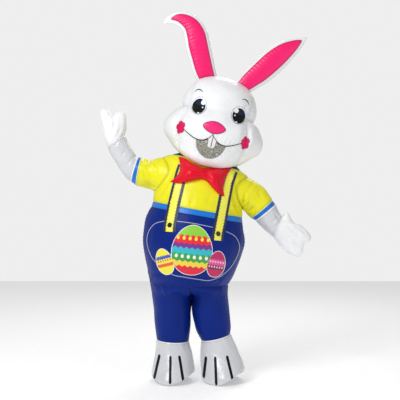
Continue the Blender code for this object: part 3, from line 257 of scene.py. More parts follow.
def nylon(name, colour, rough=0.4, gloss=0.35, edge=None, edgeWidth=0.0, stitch=None, crinkle=1.0,
          sheen=0.03, shade=0.75, glow=0.0):
    # colour times noise of 8 cm and 1 cm, with painted shade at the seam that is gone 20 mm away from it; an
    # edge colour where the seam distance is under edgeWidth (print or piping, but painted seam shade on the
    # pink and partly a painted highlight on the silver); dashes 3 mm long in a row 6 mm in from the seam;
    # bump of 12 mm crinkles plus 40 mm billows plus 0.5 mm threads
    n = Nodes(name, Sheen_Weight=sheen, Sheen_Roughness=0.4, Specular_IOR_Level=gloss,
              Subsurface_Weight=glow, Subsurface_Radius=(0.03, 0.03, 0.03))
    large, small = n.noise(taffeta["patches"], 2.0), n.noise(taffeta["crinkles"], 4.0)
    tone = n.plus(n.times(large, 0.55), n.times(small, 0.45))
    paint = n.mix(tone, shaded(colour, taffeta["dark"]), shaded(colour, taffeta["light"]))
    # painted shade along every seam: the colour is darkest on the seam and back to full 20 mm away from it
    seam = n.attribute("seam")
    seamShadeMask = n.math("POWER", n.math("DIVIDE", seam, taffeta["seamShadeFade"], clamp=True), 0.6)
    paint = n.mix(seamShadeMask, shaded(colour, shade), paint)
    # the edge colour is painted seam shade on the pink and partly a painted highlight on the silver
    if edge:
        paint = n.mix(n.under(seam, edgeWidth), paint, edge)
    if stitch:
        away = n.math("ABSOLUTE", n.math("SUBTRACT", seam, taffeta["stitchIn"]))
        dash = n.math("FRACT", n.math("DIVIDE", n.attribute("run"), taffeta["stitchStep"]))
        sewn = n.times(n.under(away, taffeta["stitchHalf"]), n.under(dash, taffeta["stitchShare"]))
        paint = n.mix(sewn, paint, stitch)
    grain = n.add("Mapping", Vector=n.where("UV"), Scale=(taffeta["threads"], taffeta["threads"], 1.0))
    weave = n.add("TexChecker", Vector=grain.outputs["Vector"], Scale=1.0)
    billow = n.times(n.noise(taffeta["billows"], 3.0, 0.6), 2.2 * crinkle)
    rise = n.plus(billow, n.times(small, 0.55 * crinkle))
    rise = n.plus(rise, n.times(weave.outputs["Fac"], 0.02))
    if stitch:
        rise = n.plus(rise, n.times(sewn, 0.25))
    n.paint(Base_Color=paint, Roughness=n.plus(rough - 0.06, n.times(small, 0.12)))
    n.bump(rise, 0.5, 0.001)
    return n.material


def plain(name, colour, rough, metallic=0.0, scale=300.0, gloss=0.5):
    # one colour with colour, roughness and bump varied by the same fine noise
    n = Nodes(name, Metallic=metallic, Specular_IOR_Level=gloss)
    fine = n.noise(scale, 4.0)
    paint = n.mix(fine, shaded(colour, 0.85), colour)
    n.paint(Base_Color=paint, Roughness=n.plus(rough - 0.05, n.times(fine, 0.1)))
    n.bump(fine, 0.2, 0.0004)
    return n.material


net = {
    "cell": 0.0012, "thread": 0.68, "curls": 30.0, "rings": 22.0, "warp": 9.0, "curlShare": 0.72,
    "curlMix": 0.55,
}


def meshCloth(name, dark, light):
    # pale threads along the UV cells' edges, 2.4 mm apart, over a darker ground, then pale curls where the
    # sine of the distance to the nearest cell's centre, warped by noise, is high
    n = Nodes(name, Roughness=0.8)
    split = n.add("SeparateXYZ", Vector=n.where("UV"))
    threads = [n.math("PINGPONG", n.math("DIVIDE", split.outputs[k], net["cell"]), 1.0) for k in (0, 1)]
    lines = n.over(n.math("MAXIMUM", *threads), net["thread"])
    cells = n.add("TexVoronoi", Vector=n.where("Object"), Scale=net["curls"])
    ring = n.plus(n.times(cells.outputs["Distance"], net["rings"]), n.times(n.noise(14.0, 1.0), net["warp"]))
    curl = n.over(n.math("SINE", ring), net["curlShare"])
    n.paint(Base_Color=n.mix(n.times(curl, net["curlMix"]), n.mix(lines, dark, light), linear("#D8D8D0")))
    n.bump(lines, 0.6, 0.0006)
    return n.material


printedStrap = {
    "border": 0.0185, "wave": 0.0012, "waves": 480.0, "dotStep": 0.021, "dotIn": 0.0215, "dot": 0.0024,
}


def strapCloth(name, middle, border, dots):
    # border colour where the seam distance is under 18.5 mm, give or take a 1.2 mm sine along the strap,
    # then dark dots 21 mm apart on the border's edge, then the middle colour
    n = Nodes(name, Roughness=0.45, Sheen_Weight=0.2)
    across, along = n.attribute("seam"), n.attribute("run")
    wavy = n.times(n.math("SINE", n.times(along, printedStrap["waves"])), printedStrap["wave"])
    step = n.times(n.middle(along, printedStrap["dotStep"]), printedStrap["dotStep"])
    away = n.squares(step, n.math("SUBTRACT", across, printedStrap["dotIn"]))
    paint = n.mix(n.under(away, printedStrap["dot"] ** 2), middle, dots)
    n.paint(Base_Color=n.mix(n.under(across, n.plus(printedStrap["border"], wavy)), paint, border))
    n.bump(n.noise(60.0, 4.0), 0.5, 0.001)
    return n.material


# each cloth's shade share sets how dark the painted shade on its seams is
cloth = {
    "white": nylon("white taffeta", linear("#F2F3F5"), rough=0.36, glow=0.03, crinkle=1.8, shade=0.84),
    "yellow": nylon("yellow taffeta", linear("#EEE81A"), rough=0.36, crinkle=1.6, shade=0.7),
    "blue": nylon("bright blue taffeta", linear("#067CE0"), rough=0.36, stitch=linear("#0860B0")),
    "cuff": nylon("sleeve end taffeta", linear("#0674D2"), rough=0.36, edge=linear("#E4ECF4"),
        edgeWidth=0.0035),
    # the blue neck band in the dark teal it takes in shade under the chin: painted shade
    "teal": nylon("neck binding in painted shade", linear("#053A50"), rough=0.5),
    "navy": nylon("navy taffeta", linear("#06267E"), rough=0.42, gloss=0.12, sheen=0.0, crinkle=1.6,
        shade=0.8),
    # the pink's dark edge along its seams is painted seam shade
    "pink": nylon("pink taffeta", linear("#FC1870"), rough=0.36, edge=linear("#A80A48"), edgeWidth=0.0035,
        crinkle=1.6),
    "nose": nylon("nose print", linear("#F8287C"), rough=0.4, edge=linear("#701038"), edgeWidth=0.0038,
        crinkle=0.8),
    "flower": nylon("cheek print", linear("#E80E62"), rough=0.45, edge=linear("#A00840"), edgeWidth=0.003,
        crinkle=0.5),
    "red": nylon("red satin", linear("#E20428"), rough=0.3, gloss=0.24, crinkle=1.5, sheen=0.0),
    # the silver's pale edge is white piping by the sleeve band and a painted highlight at the cuff by the
    # glove
    "silver": nylon("silver lining cloth", linear("#D6D7DB"), rough=0.26, gloss=0.6,
        edge=linear("#F4F4F6"), edgeWidth=0.005, crinkle=2.6, shade=0.75),
    "tooth": nylon("tooth print", linear("#F2F2F2"), rough=0.45, crinkle=0.4),
    "window": meshCloth("window net", linear("#6E6D64"), linear("#98968A")),
    "strap": strapCloth("printed strap", linear("#F6F04E"), linear("#06123E"), linear("#06081A")),
    "black": plain("black button plastic", linear("#08080A"), 0.25),
    "metal": plain("zip metal", linear("#C8C9CC"), 0.3, metallic=0.9),
}
prints = {
    "black": plain("black print", linear("#040507"), 0.5, scale=150.0, gloss=0.2),
    "line": plain("outline print", linear("#15171C"), 0.5, scale=150.0, gloss=0.2),
    "navy": plain("eye tint print", linear("#0E2248"), 0.45, scale=150.0, gloss=0.2),
    "rim": plain("eye rim print", linear("#7C92B8"), 0.5, scale=150.0, gloss=0.2),
    "white": plain("white print", linear("#FBFCFE"), 0.45, scale=150.0),
    "grey": plain("pocket line print", linear("#B4B8C4"), 0.5, scale=150.0),
}
print("materials made")


def waves(distance, seed, scale):
    # smooth noise along a line, about -1 to 1, from five sine waves
    pick = np.random.default_rng(seed)
    total = np.zeros(np.shape(distance))
    for k, share in enumerate((1.0, 0.61, 0.43, 0.29, 0.19)):
        total = total + (0.62**k) * np.sin(2 * pi * distance / (scale * share) + pick.uniform(0,
        2 * pi))
    return total / 1.7


def billows(points, seed, scale):
    # smooth noise in space, about -1 to 1, from eight sine waves in different directions
    pick = np.random.default_rng(seed)
    total = np.zeros(points.shape[:-1])
    for k in range(8):
        way = pick.normal(size=3)
        way *= pick.uniform(0.6, 1.6) / (scale * np.linalg.norm(way))
        total = total + np.sin(2 * pi * points @ way + pick.uniform(0, 2 * pi))
    return total / 4.0


def creases(points, lines):
    # folds pressed along straight lines of the front view (across, up, across, up, width, depth): a
    # bell-shaped dent of the given width and a lower ridge beside it, both fading toward the line's ends
    flat = np.stack([points[..., 0] / mm + shoulderAcross, points[..., 2] / mm + shoulderUp], axis=-1)
    total = np.zeros(points.shape[:-1])
    for x0, z0, x1, z1, wide, deep in lines:
        start, run = np.array([x0, z0]), np.array([x1 - x0, z1 - z0])
        t = ((flat - start) @ run) / (run @ run)
        away = np.linalg.norm(flat - start - np.clip(t, 0, 1)[..., None] * run, axis=-1)
        fade = np.clip(1 - np.abs(np.clip(t, -0.2, 1.2) - 0.5) / 0.7, 0, 1)
        ridge = 0.45 * deep * fade * np.exp(-(((away - 1.9 * wide) / wide) ** 2))
        total = total - deep * fade * np.exp(-((away / wide) ** 2)) + ridge
    return total


def gridNormals(points, ring, facing):
    # cross product of the grid's two directions; where a row has shrunk to a point, the next row's normals
    down = np.gradient(points, axis=0)
    if ring:
        core = points[:, :-1]
        turned = np.concatenate([core[:, -1:], core, core[:, :1]], axis=1)
        side = (turned[:, 2:] - turned[:, :-2]) / 2
        side = np.concatenate([side, side[:, :1]], axis=1)
    else:
        side = np.gradient(points, axis=1)
    normal = np.cross(down, side)
    size = np.linalg.norm(normal, axis=-1, keepdims=True)
    weak = size[..., 0] < 1e-12
    normal = normal / np.maximum(size, 1e-12)
    filled = normal.copy()
    for i in np.flatnonzero(weak.any(axis=1)):
        near = i + 1 if i < points.shape[0] / 2 else i - 1
        filled[i, weak[i]] = normal[near, weak[i]]
    outward = points - points[:, :-1].mean(axis=1, keepdims=True) if ring else np.array(faceWay[facing])
    return filled if (outward * filled).sum() > 0 else -filled


def lengths(points):
    # arc lengths down the columns and along the rows of a grid
    down = np.linalg.norm(np.diff(points, axis=0), axis=-1)
    side = np.linalg.norm(np.diff(points, axis=1), axis=-1)
    down = np.concatenate([np.zeros((1, points.shape[1])), np.cumsum(down, axis=0)], axis=0)
    side = np.concatenate([np.zeros((points.shape[0], 1)), np.cumsum(side, axis=1)], axis=1)
    return down, side


def seamReach(points, sewn):
    # how far each point lies from the nearest sewn edge, and how far along that edge
    down, side = lengths(points)
    options = {
        "first": (down, side), "last": (down[-1:] - down, side),
        "left": (side, down), "right": (side[:, -1:] - side, down),
    }
    reach, run = np.full(down.shape, 9.0), np.zeros(down.shape)
    for name in sewn:
        near = options[name][0] < reach
        reach, run = np.where(near, options[name][0], reach), np.where(near, options[name][1], run)
    return reach, run, down, side


def skin(name, outer, inner, material, reach, run, down, side, ring=False, closedEnd=False):
    # a closed wall between two grids of points, with UVs in metres and the seam distances as attributes
    rows, columns = outer.shape[:2]
    total = rows * columns
    index = np.arange(total).reshape(rows, columns)
    corners = [index[:-1, :-1], index[:-1, 1:], index[1:, 1:], index[1:, :-1]]
    quads = np.stack(corners, axis=-1).reshape(-1, 4)
    edges = [index[i] for i in ((0,) if closedEnd else (0, rows - 1))]
    edges += [] if ring else [index[:, j] for j in (0, columns - 1)]
    walls = [np.stack([edge[:-1], edge[1:], edge[1:] + total, edge[:-1] + total], axis=-1) for edge in edges]
    faces = np.concatenate([quads, quads[:, ::-1] + total] + walls)
    points = np.concatenate([outer.reshape(-1, 3), inner.reshape(-1, 3)])
    mesh = bpy.data.meshes.new(name)
    mesh.from_pydata(points.tolist(), [], faces.tolist())
    for label, values in (("seam", reach), ("run", run)):
        mesh.attributes.new(label, "FLOAT", "POINT").data.foreach_set("value", np.tile(values.ravel(), 2))
    flat = np.tile(np.stack([side.ravel(), down.ravel()], axis=-1), (2, 1))
    mesh.uv_layers.new(name="cut").data.foreach_set("uv", flat[faces.ravel()].ravel())
    bm = bmesh.new()
    bm.from_mesh(mesh)
    bmesh.ops.remove_doubles(bm, verts=bm.verts, dist=1e-6)
    bmesh.ops.recalc_face_normals(bm, faces=bm.faces)
    if bm.calc_volume(signed=True) < 0:
        bmesh.ops.reverse_faces(bm, faces=bm.faces)
    for edge in bm.edges:
        edge.smooth = edge.calc_face_angle(0.0) < sharpFrom
    for face in bm.faces:
        face.smooth = True
    bm.to_mesh(mesh)
    bm.free()
    mesh.materials.append(material)
    made = bpy.data.objects.new(name, mesh)
    bpy.context.scene.collection.objects.link(made)
    return made


panels = {}  # finished panels, for laying prints on them
sharpFrom = math.radians(50)  # edges that turn more stay sharp
soleUp = -1.3985  # metres; no cloth goes lower
allEdges = ("first", "last", "left", "right")
faceWay = {"front": (0, -1, 0), "back": (0, 1, 0), "l": (1, 0, 0), "r": (-1, 0, 0)}


def standFor(made, node):
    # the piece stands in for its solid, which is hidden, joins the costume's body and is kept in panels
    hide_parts(node)
    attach(made, "costume")
    panels[node] = made


def sew(node, points, material, facing="front", ring=False, closedEnd=False, sewn=allEdges, folds=None,
        pucker=(2.2, 16.0, 24.0), wall=1.6, seed=1, held="stretched", restsOn=(), kind="cloth"):
    # one cut panel. Away from its sewn edges it swells by height * (1 - exp(-1.3 reach / fade)), with puckers
    # of 0.8 height * (reach / fade) * exp(1 - reach / fade) * waves along the seam, and folds on its normals
    reach, run, down, side = seamReach(points, sewn)
    normal = gridNormals(points, ring, facing)
    height, fade, step = pucker
    near = reach / (fade * mm)
    swell = 1 - np.exp(-1.3 * near)
    lift = height * swell + 0.8 * height * near * np.exp(1 - near) * waves(run / mm, seed, step)
    if folds is not None:
        lift = lift + folds(points, down / mm, side / mm) * swell
    if ring:
        lift[:, -1] = lift[:, 0]
    outer = points + normal * lift[..., None] * mm
    if ring:
        outer[:, -1] = outer[:, 0]
    normal = gridNormals(outer, ring, facing)
    inner = outer - normal * wall * mm
    if closedEnd:
        # near the closed edge the inner skins keep a third of the outer skins' distance apart
        outer[-1] = points[-1]
        apart = (outer - outer[:, ::-1]) / 2
        centre = (inner + inner[:, ::-1]) / 2
        inside = inner - centre
        close = (inside * apart - 0.35 * apart * apart).sum(axis=-1, keepdims=True) < 0
        inner = centre + np.where(close, 0.35 * apart, inside)
        inner[-1] = (centre[-2] + points[-1]) / 2
    if ring:
        inner[:, -1] = inner[:, 0]
    for grid in (outer, inner):
        grid[..., 2] = np.maximum(grid[..., 2], soleUp)
    made = skin(f"{node}_{kind}", outer, inner, material, reach, run, down, side, ring, closedEnd)
    standFor(made, node)
    declareSheet(made, side[:, -1].max(), down[-1].max(), held, restsOn)


def declareSheet(made, width, length, held, restsOn):
    # the flat cut is as long as the panel's arcs, and its area is half the closed wall's surface
    area = sum(face.area for face in made.data.polygons) / 2
    grow = max(1.0, area / (width * length) * 1.01)
    flat = (round(float(width * grow), 3), round(float(length), 3))
    area = round(max(area, 0.31 * flat[0] * flat[1]), 5)
    print(f"{made.name}: flat {flat[0]:.3f} x {flat[1]:.3f} m, {area:.3f} m2")


def tree(names):
    # the triangles of finished panels, for finding the nearest point on them
    points, corners = [], []
    for name in names:
        mesh = panels[name].data
        mesh.calc_loop_triangles()
        base = len(points)
        points += [tuple(v.co) for v in mesh.vertices]
        corners += [tuple(base + i for i in t.vertices) for t in mesh.loop_triangles]
    return BVHTree.FromPolygons(points, corners, all_triangles=True)


def lay(flat, names, lift, side=1):
    # points of the front view (mm) carried back on to finished panels, with normals
    found = tree(names)
    shape = flat.shape[:-1]
    spots, normals = np.zeros(shape + (3,)), np.zeros(shape + (3,))
    nudges = [(0, 0), (0.4 * mm, 0.3 * mm), (-0.4 * mm, 0.3 * mm), (0, -0.5 * mm)]
    for key in np.ndindex(*shape):
        x, z = (flat[key][0] - shoulderAcross) * mm, (flat[key][1] - shoulderUp) * mm
        tries = [found.ray_cast((x + dx, -side, z + dz), (0, side, 0))[:2] for dx, dz in nudges]
        tries = [item for item in tries if item[0] is not None]
        if tries:
            hit, way = min(tries, key=lambda item: side * item[0][1])
        else:
            hit, way = found.find_nearest((x, -0.25 * side, z))[:2]
        spots[key], normals[key] = (x, hit[1], z), way
    normals *= np.sign(-side * normals[..., 1:2] + 1e-9)
    smooth = normals.copy()
    for _ in range(3):
        padded = np.pad(smooth, ((1, 1), (1, 1), (0, 0)), mode="edge")
        around = padded[:-2, 1:-1] + padded[2:, 1:-1] + padded[1:-1, :-2] + padded[1:-1, 2:]
        smooth = (around + smooth) / 5
    smooth /= np.linalg.norm(smooth, axis=-1, keepdims=True)
    return spots + smooth * lift * mm, smooth


def patch(name, flat, names, material, lift=0.35, thick=0.5, crown=0.0, closed=False, side=1, node=None,
          restsOn=()):
    # a thin piece or print that lies on finished panels; a closed one has its rim first and its centre last
    low, normal = lay(flat, names, lift, side)
    if closed:
        low[:, -1], normal[:, -1] = low[:, 0], normal[:, 0]
        low[-1], normal[-1] = low[-1].mean(axis=0), normal[-1].mean(axis=0)
    rise = np.asarray(thick + crown * np.ones(flat.shape[:2]))[..., None]
    high = low + normal * rise * mm
    down, across = lengths(low)
    reach = down if closed else np.minimum(across, across[:, -1:] - across)
    made = skin(name, high, low, material, reach, across if closed else down, down, across, closed, closed)
    if node:
        standFor(made, node)
    else:
        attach(made, "costume")
    if restsOn:
        declareSheet(made, across[:, -1].max(), down[-1].max(), "laid", restsOn)
    return made


def ribbon(line, widths, columns=3):
    # a band of given half widths along a line of points
    line = np.array(line, float)
    along = np.gradient(line, axis=0)
    along /= np.linalg.norm(along, axis=1, keepdims=True)
    side = np.stack([-along[:, 1], along[:, 0]], axis=1)
    widths = np.broadcast_to(widths, (len(line),))
    return line[:, None] + side[:, None] * np.linspace(-1, 1, columns)[None, :, None] * widths[:, None,
    None]


def disc(centre, wide, tall, tilt=0.0, rings=8, sectors=48, shape=None):
    # an oval as rings from its edge to its centre, in any flat axes
    turn = np.linspace(0, 2 * pi, sectors + 1)
    out = np.ones(turn.shape) if shape is None else shape(turn)
    share = np.linspace(1, 0, rings + 1)[:, None]
    x, y = wide * np.cos(turn) * out * share, tall * np.sin(turn) * out * share
    lean, rise = math.cos(tilt), math.sin(tilt)
    return np.stack([centre[0] + x * lean - y * rise, centre[1] + x * rise + y * lean], axis=-1)


bodyCut = {"columns": 96, "overallsRows": 84, "beltRows": 8, "bandRows": 6, "billow": 2.2, "hipGather": 5.0}
shirtFolds = [
    (-262, 1170, -205, 1270, 11, 9), (-240, 1120, -175, 1180, 12, 6), (-225, 1230, -165, 1350, 13, 6),
    (243, 1080, 205, 1190, 11, 9),
    (250, 1150, 222, 1290, 9, 6), (215, 1080, 160, 1120, 11, 4), (-60, 1110, -40, 1180, 12, 3),
    (40, 1120, 62, 1190, 14, 3),
]
hipFolds = [
    (-290, 640, -110, 655, 12, 5), (-150, 668, 40, 650, 11, 5), (-20, 690, 170, 668, 12, 4),
    (-300, 700, -200, 712, 12, 4), (90, 720, 190, 760, 12, 4),
    (-330, 860, -300, 1000, 14, 4), (262, 800, 285, 960, 14, 4), (-280, 740, -250, 840, 13, 3),
]


def bodyFolds(seed, gather=0.0, lines=()):
    # billows, waves that gather the top edge and fade 60 mm below it, and pressed folds
    def folds(points, down, side):
        lift = bodyCut["billow"] * billows(points, seed, 0.22)
        if gather:
            lift = lift + gather * np.exp(-down / 60) * waves(side, seed + 3, 110)
        return lift + (creases(points, lines) if lines else 0)
    return folds


def sewPair(part, angle, rows, paint, seed, lines=(), gather=0.0, restsOn=(), **how):
    # the front panel, and the back panel on the same rows
    for face, turn, k in (("front", angle, 0), ("back", -angle[:, ::-1], 1)):
        folds = bodyFolds(seed + k, gather, () if k else lines)
        rests = [name.replace("FACE", face) for name in restsOn]
        sew(f"{part}_{face}", torso(turn, rows), cloth[paint], facing=face, folds=folds, seed=seed + k,
            restsOn=rests, **how)


share = np.linspace(0, 1, bodyCut["columns"] + 1)
middle, reachRows = (shoulder + armpit) / 2, (shoulder - armpit) / 2
armRows = middle + reachRows * np.cos(np.linspace(pi, 0, 49))
aboveArm = np.linspace(shoulder, bandRow, 11)[1:]
shirtRows = np.concatenate([np.linspace(beltHigh, armpit, 13)[:-1], armRows, aboveArm])
cut = armholeReach * np.sqrt(np.clip(1 - ((shirtRows - middle) / reachRows) ** 2, 0, 1))
angle = cut[:, None] + (pi - 2 * cut[:, None]) * share
rows = np.repeat(shirtRows[:, None], len(share), axis=1)
sewPair("shirt", angle, rows, "yellow", 11, shirtFolds, restsOn=["neck_band", "belt_FACE"])
angle, rows = np.meshgrid(pi * share, np.linspace(beltLow, beltHigh, bodyCut["beltRows"] + 1))
sewPair("belt", angle, rows, "blue", 13, pucker=(0.5, 8.0, 30.0), restsOn=["shirt_FACE"])
angle, rows = np.meshgrid(pi * share, np.linspace(0.0, beltLow, bodyCut["overallsRows"] + 1))
sewPair("overalls", angle, rows, "navy", 13, hipFolds, bodyCut["hipGather"], ["shirt_FACE"],
        pucker=(1.6, 18.0, 24.0))
# the neck band, its cloth darkened by painted shade
angle, rows = np.meshgrid(np.linspace(0, 2 * pi, 193), np.linspace(bandRow, neckRow, bodyCut["bandRows"] + 1))
sew("neck_band", torso(angle, rows), cloth["teal"], ring=True, sewn=("first", "last"),
    pucker=(0.8, 8.0, 18.0), seed=15, restsOn=["head_back"])
print("body sewn")

# across, up, roll, half width, front, back
legRings = {
    "r": [
        (-126.8, 590.0, 2.0, 190, 214, 205), (-182.6, 548.0, 2.0, 126.5, 166, 160),
        (-180.8, 470.0, 2.0, 121, 146, 140),
        (-178.1, 382.0, 2.0, 117, 130, 124), (-177.0, 310.0, 2.4, 111, 118, 114),
        (-176.1, 253.3, 2.7, 103, 110, 106),
    ],
    "l": [
        (-3.2, 590.0, 1.0, 181, 212, 203), (63.0, 548.0, 0.0, 116.5, 164, 158),
        (69.5, 470.0, 0.0, 119, 144, 138),
        (78.3, 382.0, -2.0, 117, 129, 123), (87.1, 324.8, -6.0, 112, 119, 115),
        (102.0, 274.8, -13.0, 96, 111, 107),
    ],
}
legFoldLines = [
    (-200, 560, -90, 590, 12, 4), (-40, 590, 60, 560, 12, 4), (-250, 430, -180, 440, 14, 2.5),
    (60, 420, 130, 408, 14, 2.5),
    (-240, 300, -170, 285, 10, 3), (40, 350, 130, 330, 10, 3), (-130, 480, -128, 300, 16, 3),
    (100, 520, 110, 350, 16, 3),
]
legCut = {
    "touchUp": 488.0, "gapGrowth": 0.1, "gap": 0.3, "between": 54.7, "pushLow": 370.0, "pushFade": 80.0,
    "crotch": (-71.5, 17.0), "columns": 40, "rows": 90, "billow": 2.0, "hemGather": 2.2, "hipGather": 5.0,
}


def legPoint(side, row, angle):
    # leaning ellipse, with its inner side pushed out until the legs touch above touchUp
    values = smoothRows([torsoRings[0]] + legRings[side], row)
    across, up, roll, wide, front, back = np.moveaxis(values, -1, 0)
    reach, out, roll = wide * np.cos(angle), np.sin(angle), np.radians(roll)
    inward = 1 if side == "r" else -1
    gap = np.clip((legCut["touchUp"] - up) * legCut["gapGrowth"], legCut["gap"], None)
    push = np.clip(-inward * (legCut["between"] + across) - gap - wide, 0, None) * (row >= 2)
    push = push * np.clip((up - legCut["pushLow"]) / legCut["pushFade"], 0, 1) * inward
    push = push * np.clip(inward * np.cos(angle), 0, 1) ** 2
    forward = np.where(out >= 0, front, back) * out
    return place(across + reach * np.cos(roll) + push, forward, up - reach * np.sin(roll))


legRows = np.concatenate([np.linspace(0, 2, 41), np.linspace(2, 6, legCut["rows"] - 39)[1:]])
for side, seed in (("r", 21), ("l", 22)):
    rings = smoothRows([torsoRings[0]] + legRings[side], legRows)
    plane = legCut["crotch"][0] + legCut["crotch"][1] * np.clip(legRows / 2, 0, 1)
    edge = np.where(legRows >= 2, 1.0 if side == "r" else -1.0, (plane - rings[:, 0]) / rings[:, 3])
    start = np.arccos(np.clip(edge, -1, 1))[:, None]
    end = pi if side == "r" else 0.0
    angle = start + (end - start) * np.linspace(0, 1, legCut["columns"] + 1)
    rows = np.repeat(legRows[:, None], legCut["columns"] + 1, axis=1)

    def legFolds(points, down, across, seed=seed):
        # billows, gathered waves at the hip and at the hem, and pressed folds
        hip = legCut["hipGather"] * np.exp(-down / 45) * waves(across, seed + 5, 95)
        hem = legCut["hemGather"] * np.exp(-(down[-1:] - down) / 40) * waves(across, seed + 9, 42)
        return legCut["billow"] * billows(points, seed, 0.16) + hip + creases(points, legFoldLines) + hem

    for face, turn in (("front", 1), ("back", -1)):
        sew(f"leg_{face}_{side}", legPoint(side, rows, turn * angle), cloth["navy"], facing=face,
            folds=legFolds, pucker=(1.2, 12.0, 22.0), seed=seed, restsOn=[f"overalls_{face}"])

# across, forward, up, roll, half width, front, back, lift at the sides
shoeRings = {
    "foot_r": [
        (-176.1, 0, 253.3, 2.7, 103, 110, 106, 0), (-172.0, 6, 170.0, 2.0, 118, 132, 112, 0),
        (-173.0, 22, 90.0, 1.0, 131, 160, 120, 4), (-173.5, 34, 25.0, 0.0, 139, 181, 124, 12),
        (-173.5, 34, 2.5, 0.0, 134, 180, 122, 26),
    ],
    "foot_l": [
        (102.0, 0, 274.8, -13.0, 96, 111, 107, 0), (118.0, 8, 180.0, -8.0, 117, 134, 112, 0),
        (136.0, 24, 95.0, -3.0, 133, 163, 128, 5), (147.5, 36, 30.0, 0.0, 137.5, 184, 132, 8),
        (147.0, 36, 2.5, 0.0, 136, 183, 130, 14),
    ],
}
shoeCut = {
    "turn": {"foot_r": 2.0, "foot_l": 3.0}, "tilt": {"foot_r": 36.0, "foot_l": 66.0}, "tiltAngle": 33.0,
    "columns": 112, "rows": 52, "gather": 2.4, "billow": 2.4,
}
turn = np.linspace(0, 2 * pi, shoeCut["columns"] + 1)
angle, rows = np.meshgrid(turn, np.linspace(0, 4, shoeCut["rows"] + 1))
for name, rings in shoeRings.items():
    # leaning ellipses that turn outward toward the sole and rise toward the outer front
    across, ahead, up, roll, wide, front, back, lift = np.moveaxis(smoothRows(rings, rows), -1, 0)
    roll, out, swing = np.radians(roll), np.sin(angle), math.radians(shoeCut["turn"][name]) * rows / 4
    toward = np.clip(np.cos(angle - math.radians(shoeCut["tiltAngle"])), 0, 1) ** 2
    tilt = shoeCut["tilt"][name] * toward * (1 - up / rings[0][2])
    sideways, forward = wide * np.cos(angle), np.where(out >= 0, front, back) * out
    x = across + sideways * np.cos(roll) * np.cos(swing) + forward * np.sin(swing)
    z = up - sideways * np.sin(roll) + lift * np.cos(angle) ** 2 + tilt
    points = place(x, ahead + forward * np.cos(swing) - sideways * np.sin(swing), z)

    def shoeFolds(points, down, across):
        # waves that gather the top edge and fade 60 mm below it, and billows
        gather = shoeCut["gather"] * np.exp(-down / 60) * waves(across, 31, 46)
        return gather + shoeCut["billow"] * billows(points, 32, 0.13)

    legs = ["leg_front_" + name[-1], "leg_back_" + name[-1]]
    sew(name, points, cloth["silver"], ring=True, sewn=("first",), folds=shoeFolds, pucker=(1.0, 10.0, 20.0),
        seed=33, held="hung", restsOn=legs)
print("legs and shoe covers sewn")

# across, forward, up, lean of the ring, half height, half depth
sleeveRings = {
    "r": [(-299.6, 4, 1330.3, 8, 100, 104), (-344.5, 4, 1329.7, 8, 88, 98),
        (-395.9, 5, 1347.2, 11.6, 91, 92)],
    "l": [(354.5, 14, 1160.7, 30.6, 100, 104), (378.7, 20, 1130.3, 41, 95, 98),
        (398.4, 25, 1103.5, 50, 89, 92)],
}
bandEnd = {"r": (-423.1, 7, 1360.2, 16.3, 82, 84), "l": (422.9, 30, 1081.9, 51, 82, 83)}
forearmRings = {
    "r": [(-448.2, 9, 1376.5, 28.9, 72, 78), (-481.0, 12, 1429.2, 57, 66, 72),
        (-524.9, 16, 1500.0, 59.6, 67, 70), (-542.8, 18, 1542.2, 54.7, 65, 66)],
    "l": [(460.0, 35, 1029.0, 47.5, 72, 75), (480.0, 38, 1007.0, 34, 70, 70),
        (497.0, 42, 988.0, 20, 68, 67)],
}
armCut = {
    "columns": 72, "sleeveSteps": 14, "bandSteps": 8, "forearmSteps": 10, "sleeveBillow": 2.5,
    "forearmBillow": 1.8, "gather": 1.6, "armholeGap": 0.3,
}
sleeveFolds = {
    "r": [
        (-375, 1432, -336, 1389, 9, 13), (-331, 1435, -326, 1388, 11, 12),
        (-303, 1425, -276, 1368, 8, 9), (-276, 1368, -273, 1300, 7, 5),
        (-360, 1352, -341, 1300, 7, 6), (-320, 1262, -270, 1226, 8, 8), (-290, 1280, -276, 1226, 7, 7),
        (-385, 1300, -345, 1262, 8, 5),
    ],
    "l": [
        (342, 1272, 292, 1205, 8, 8), (290, 1208, 266, 1112, 9, 12), (268, 1166, 300, 1138, 6, 8),
        (275, 1115, 322, 1150, 7, 7),
        (300, 1090, 350, 1120, 8, 5), (372, 1215, 395, 1160, 10, 5),
    ],
}
forearmFolds = {
    "r": [(-470, 1370, -430, 1440, 7, 5), (-500, 1440, -470, 1500, 7, 5), (-560, 1490, -520, 1545, 7, 5),
        (-490, 1410, -455, 1385, 6, 4)],
    "l": [
        (474, 1076, 530, 1014, 9, 9), (452, 1012, 494, 1053, 9, 5), (462, 976, 503, 1014, 9, 5),
        (470, 990, 440, 1030, 10, 4),
    ],
}


def armRing(row, turn):
    # an ellipse across the arm, leaning in the front view
    across, ahead, up, lean, tall, deep = row
    lean, rise = math.radians(lean), tall * np.cos(turn)
    return place(across + rise * math.sin(lean), ahead + deep * np.sin(turn), up + rise * math.cos(lean))


def loft(rings, steps):
    # the cubic curve through whole rings, with a number of steps between each two
    position = np.linspace(0, len(rings) - 1, (len(rings) - 1) * steps + 1)
    return smoothRows(np.array(rings).reshape(len(rings), -1), position).reshape(len(position), -1, 3)


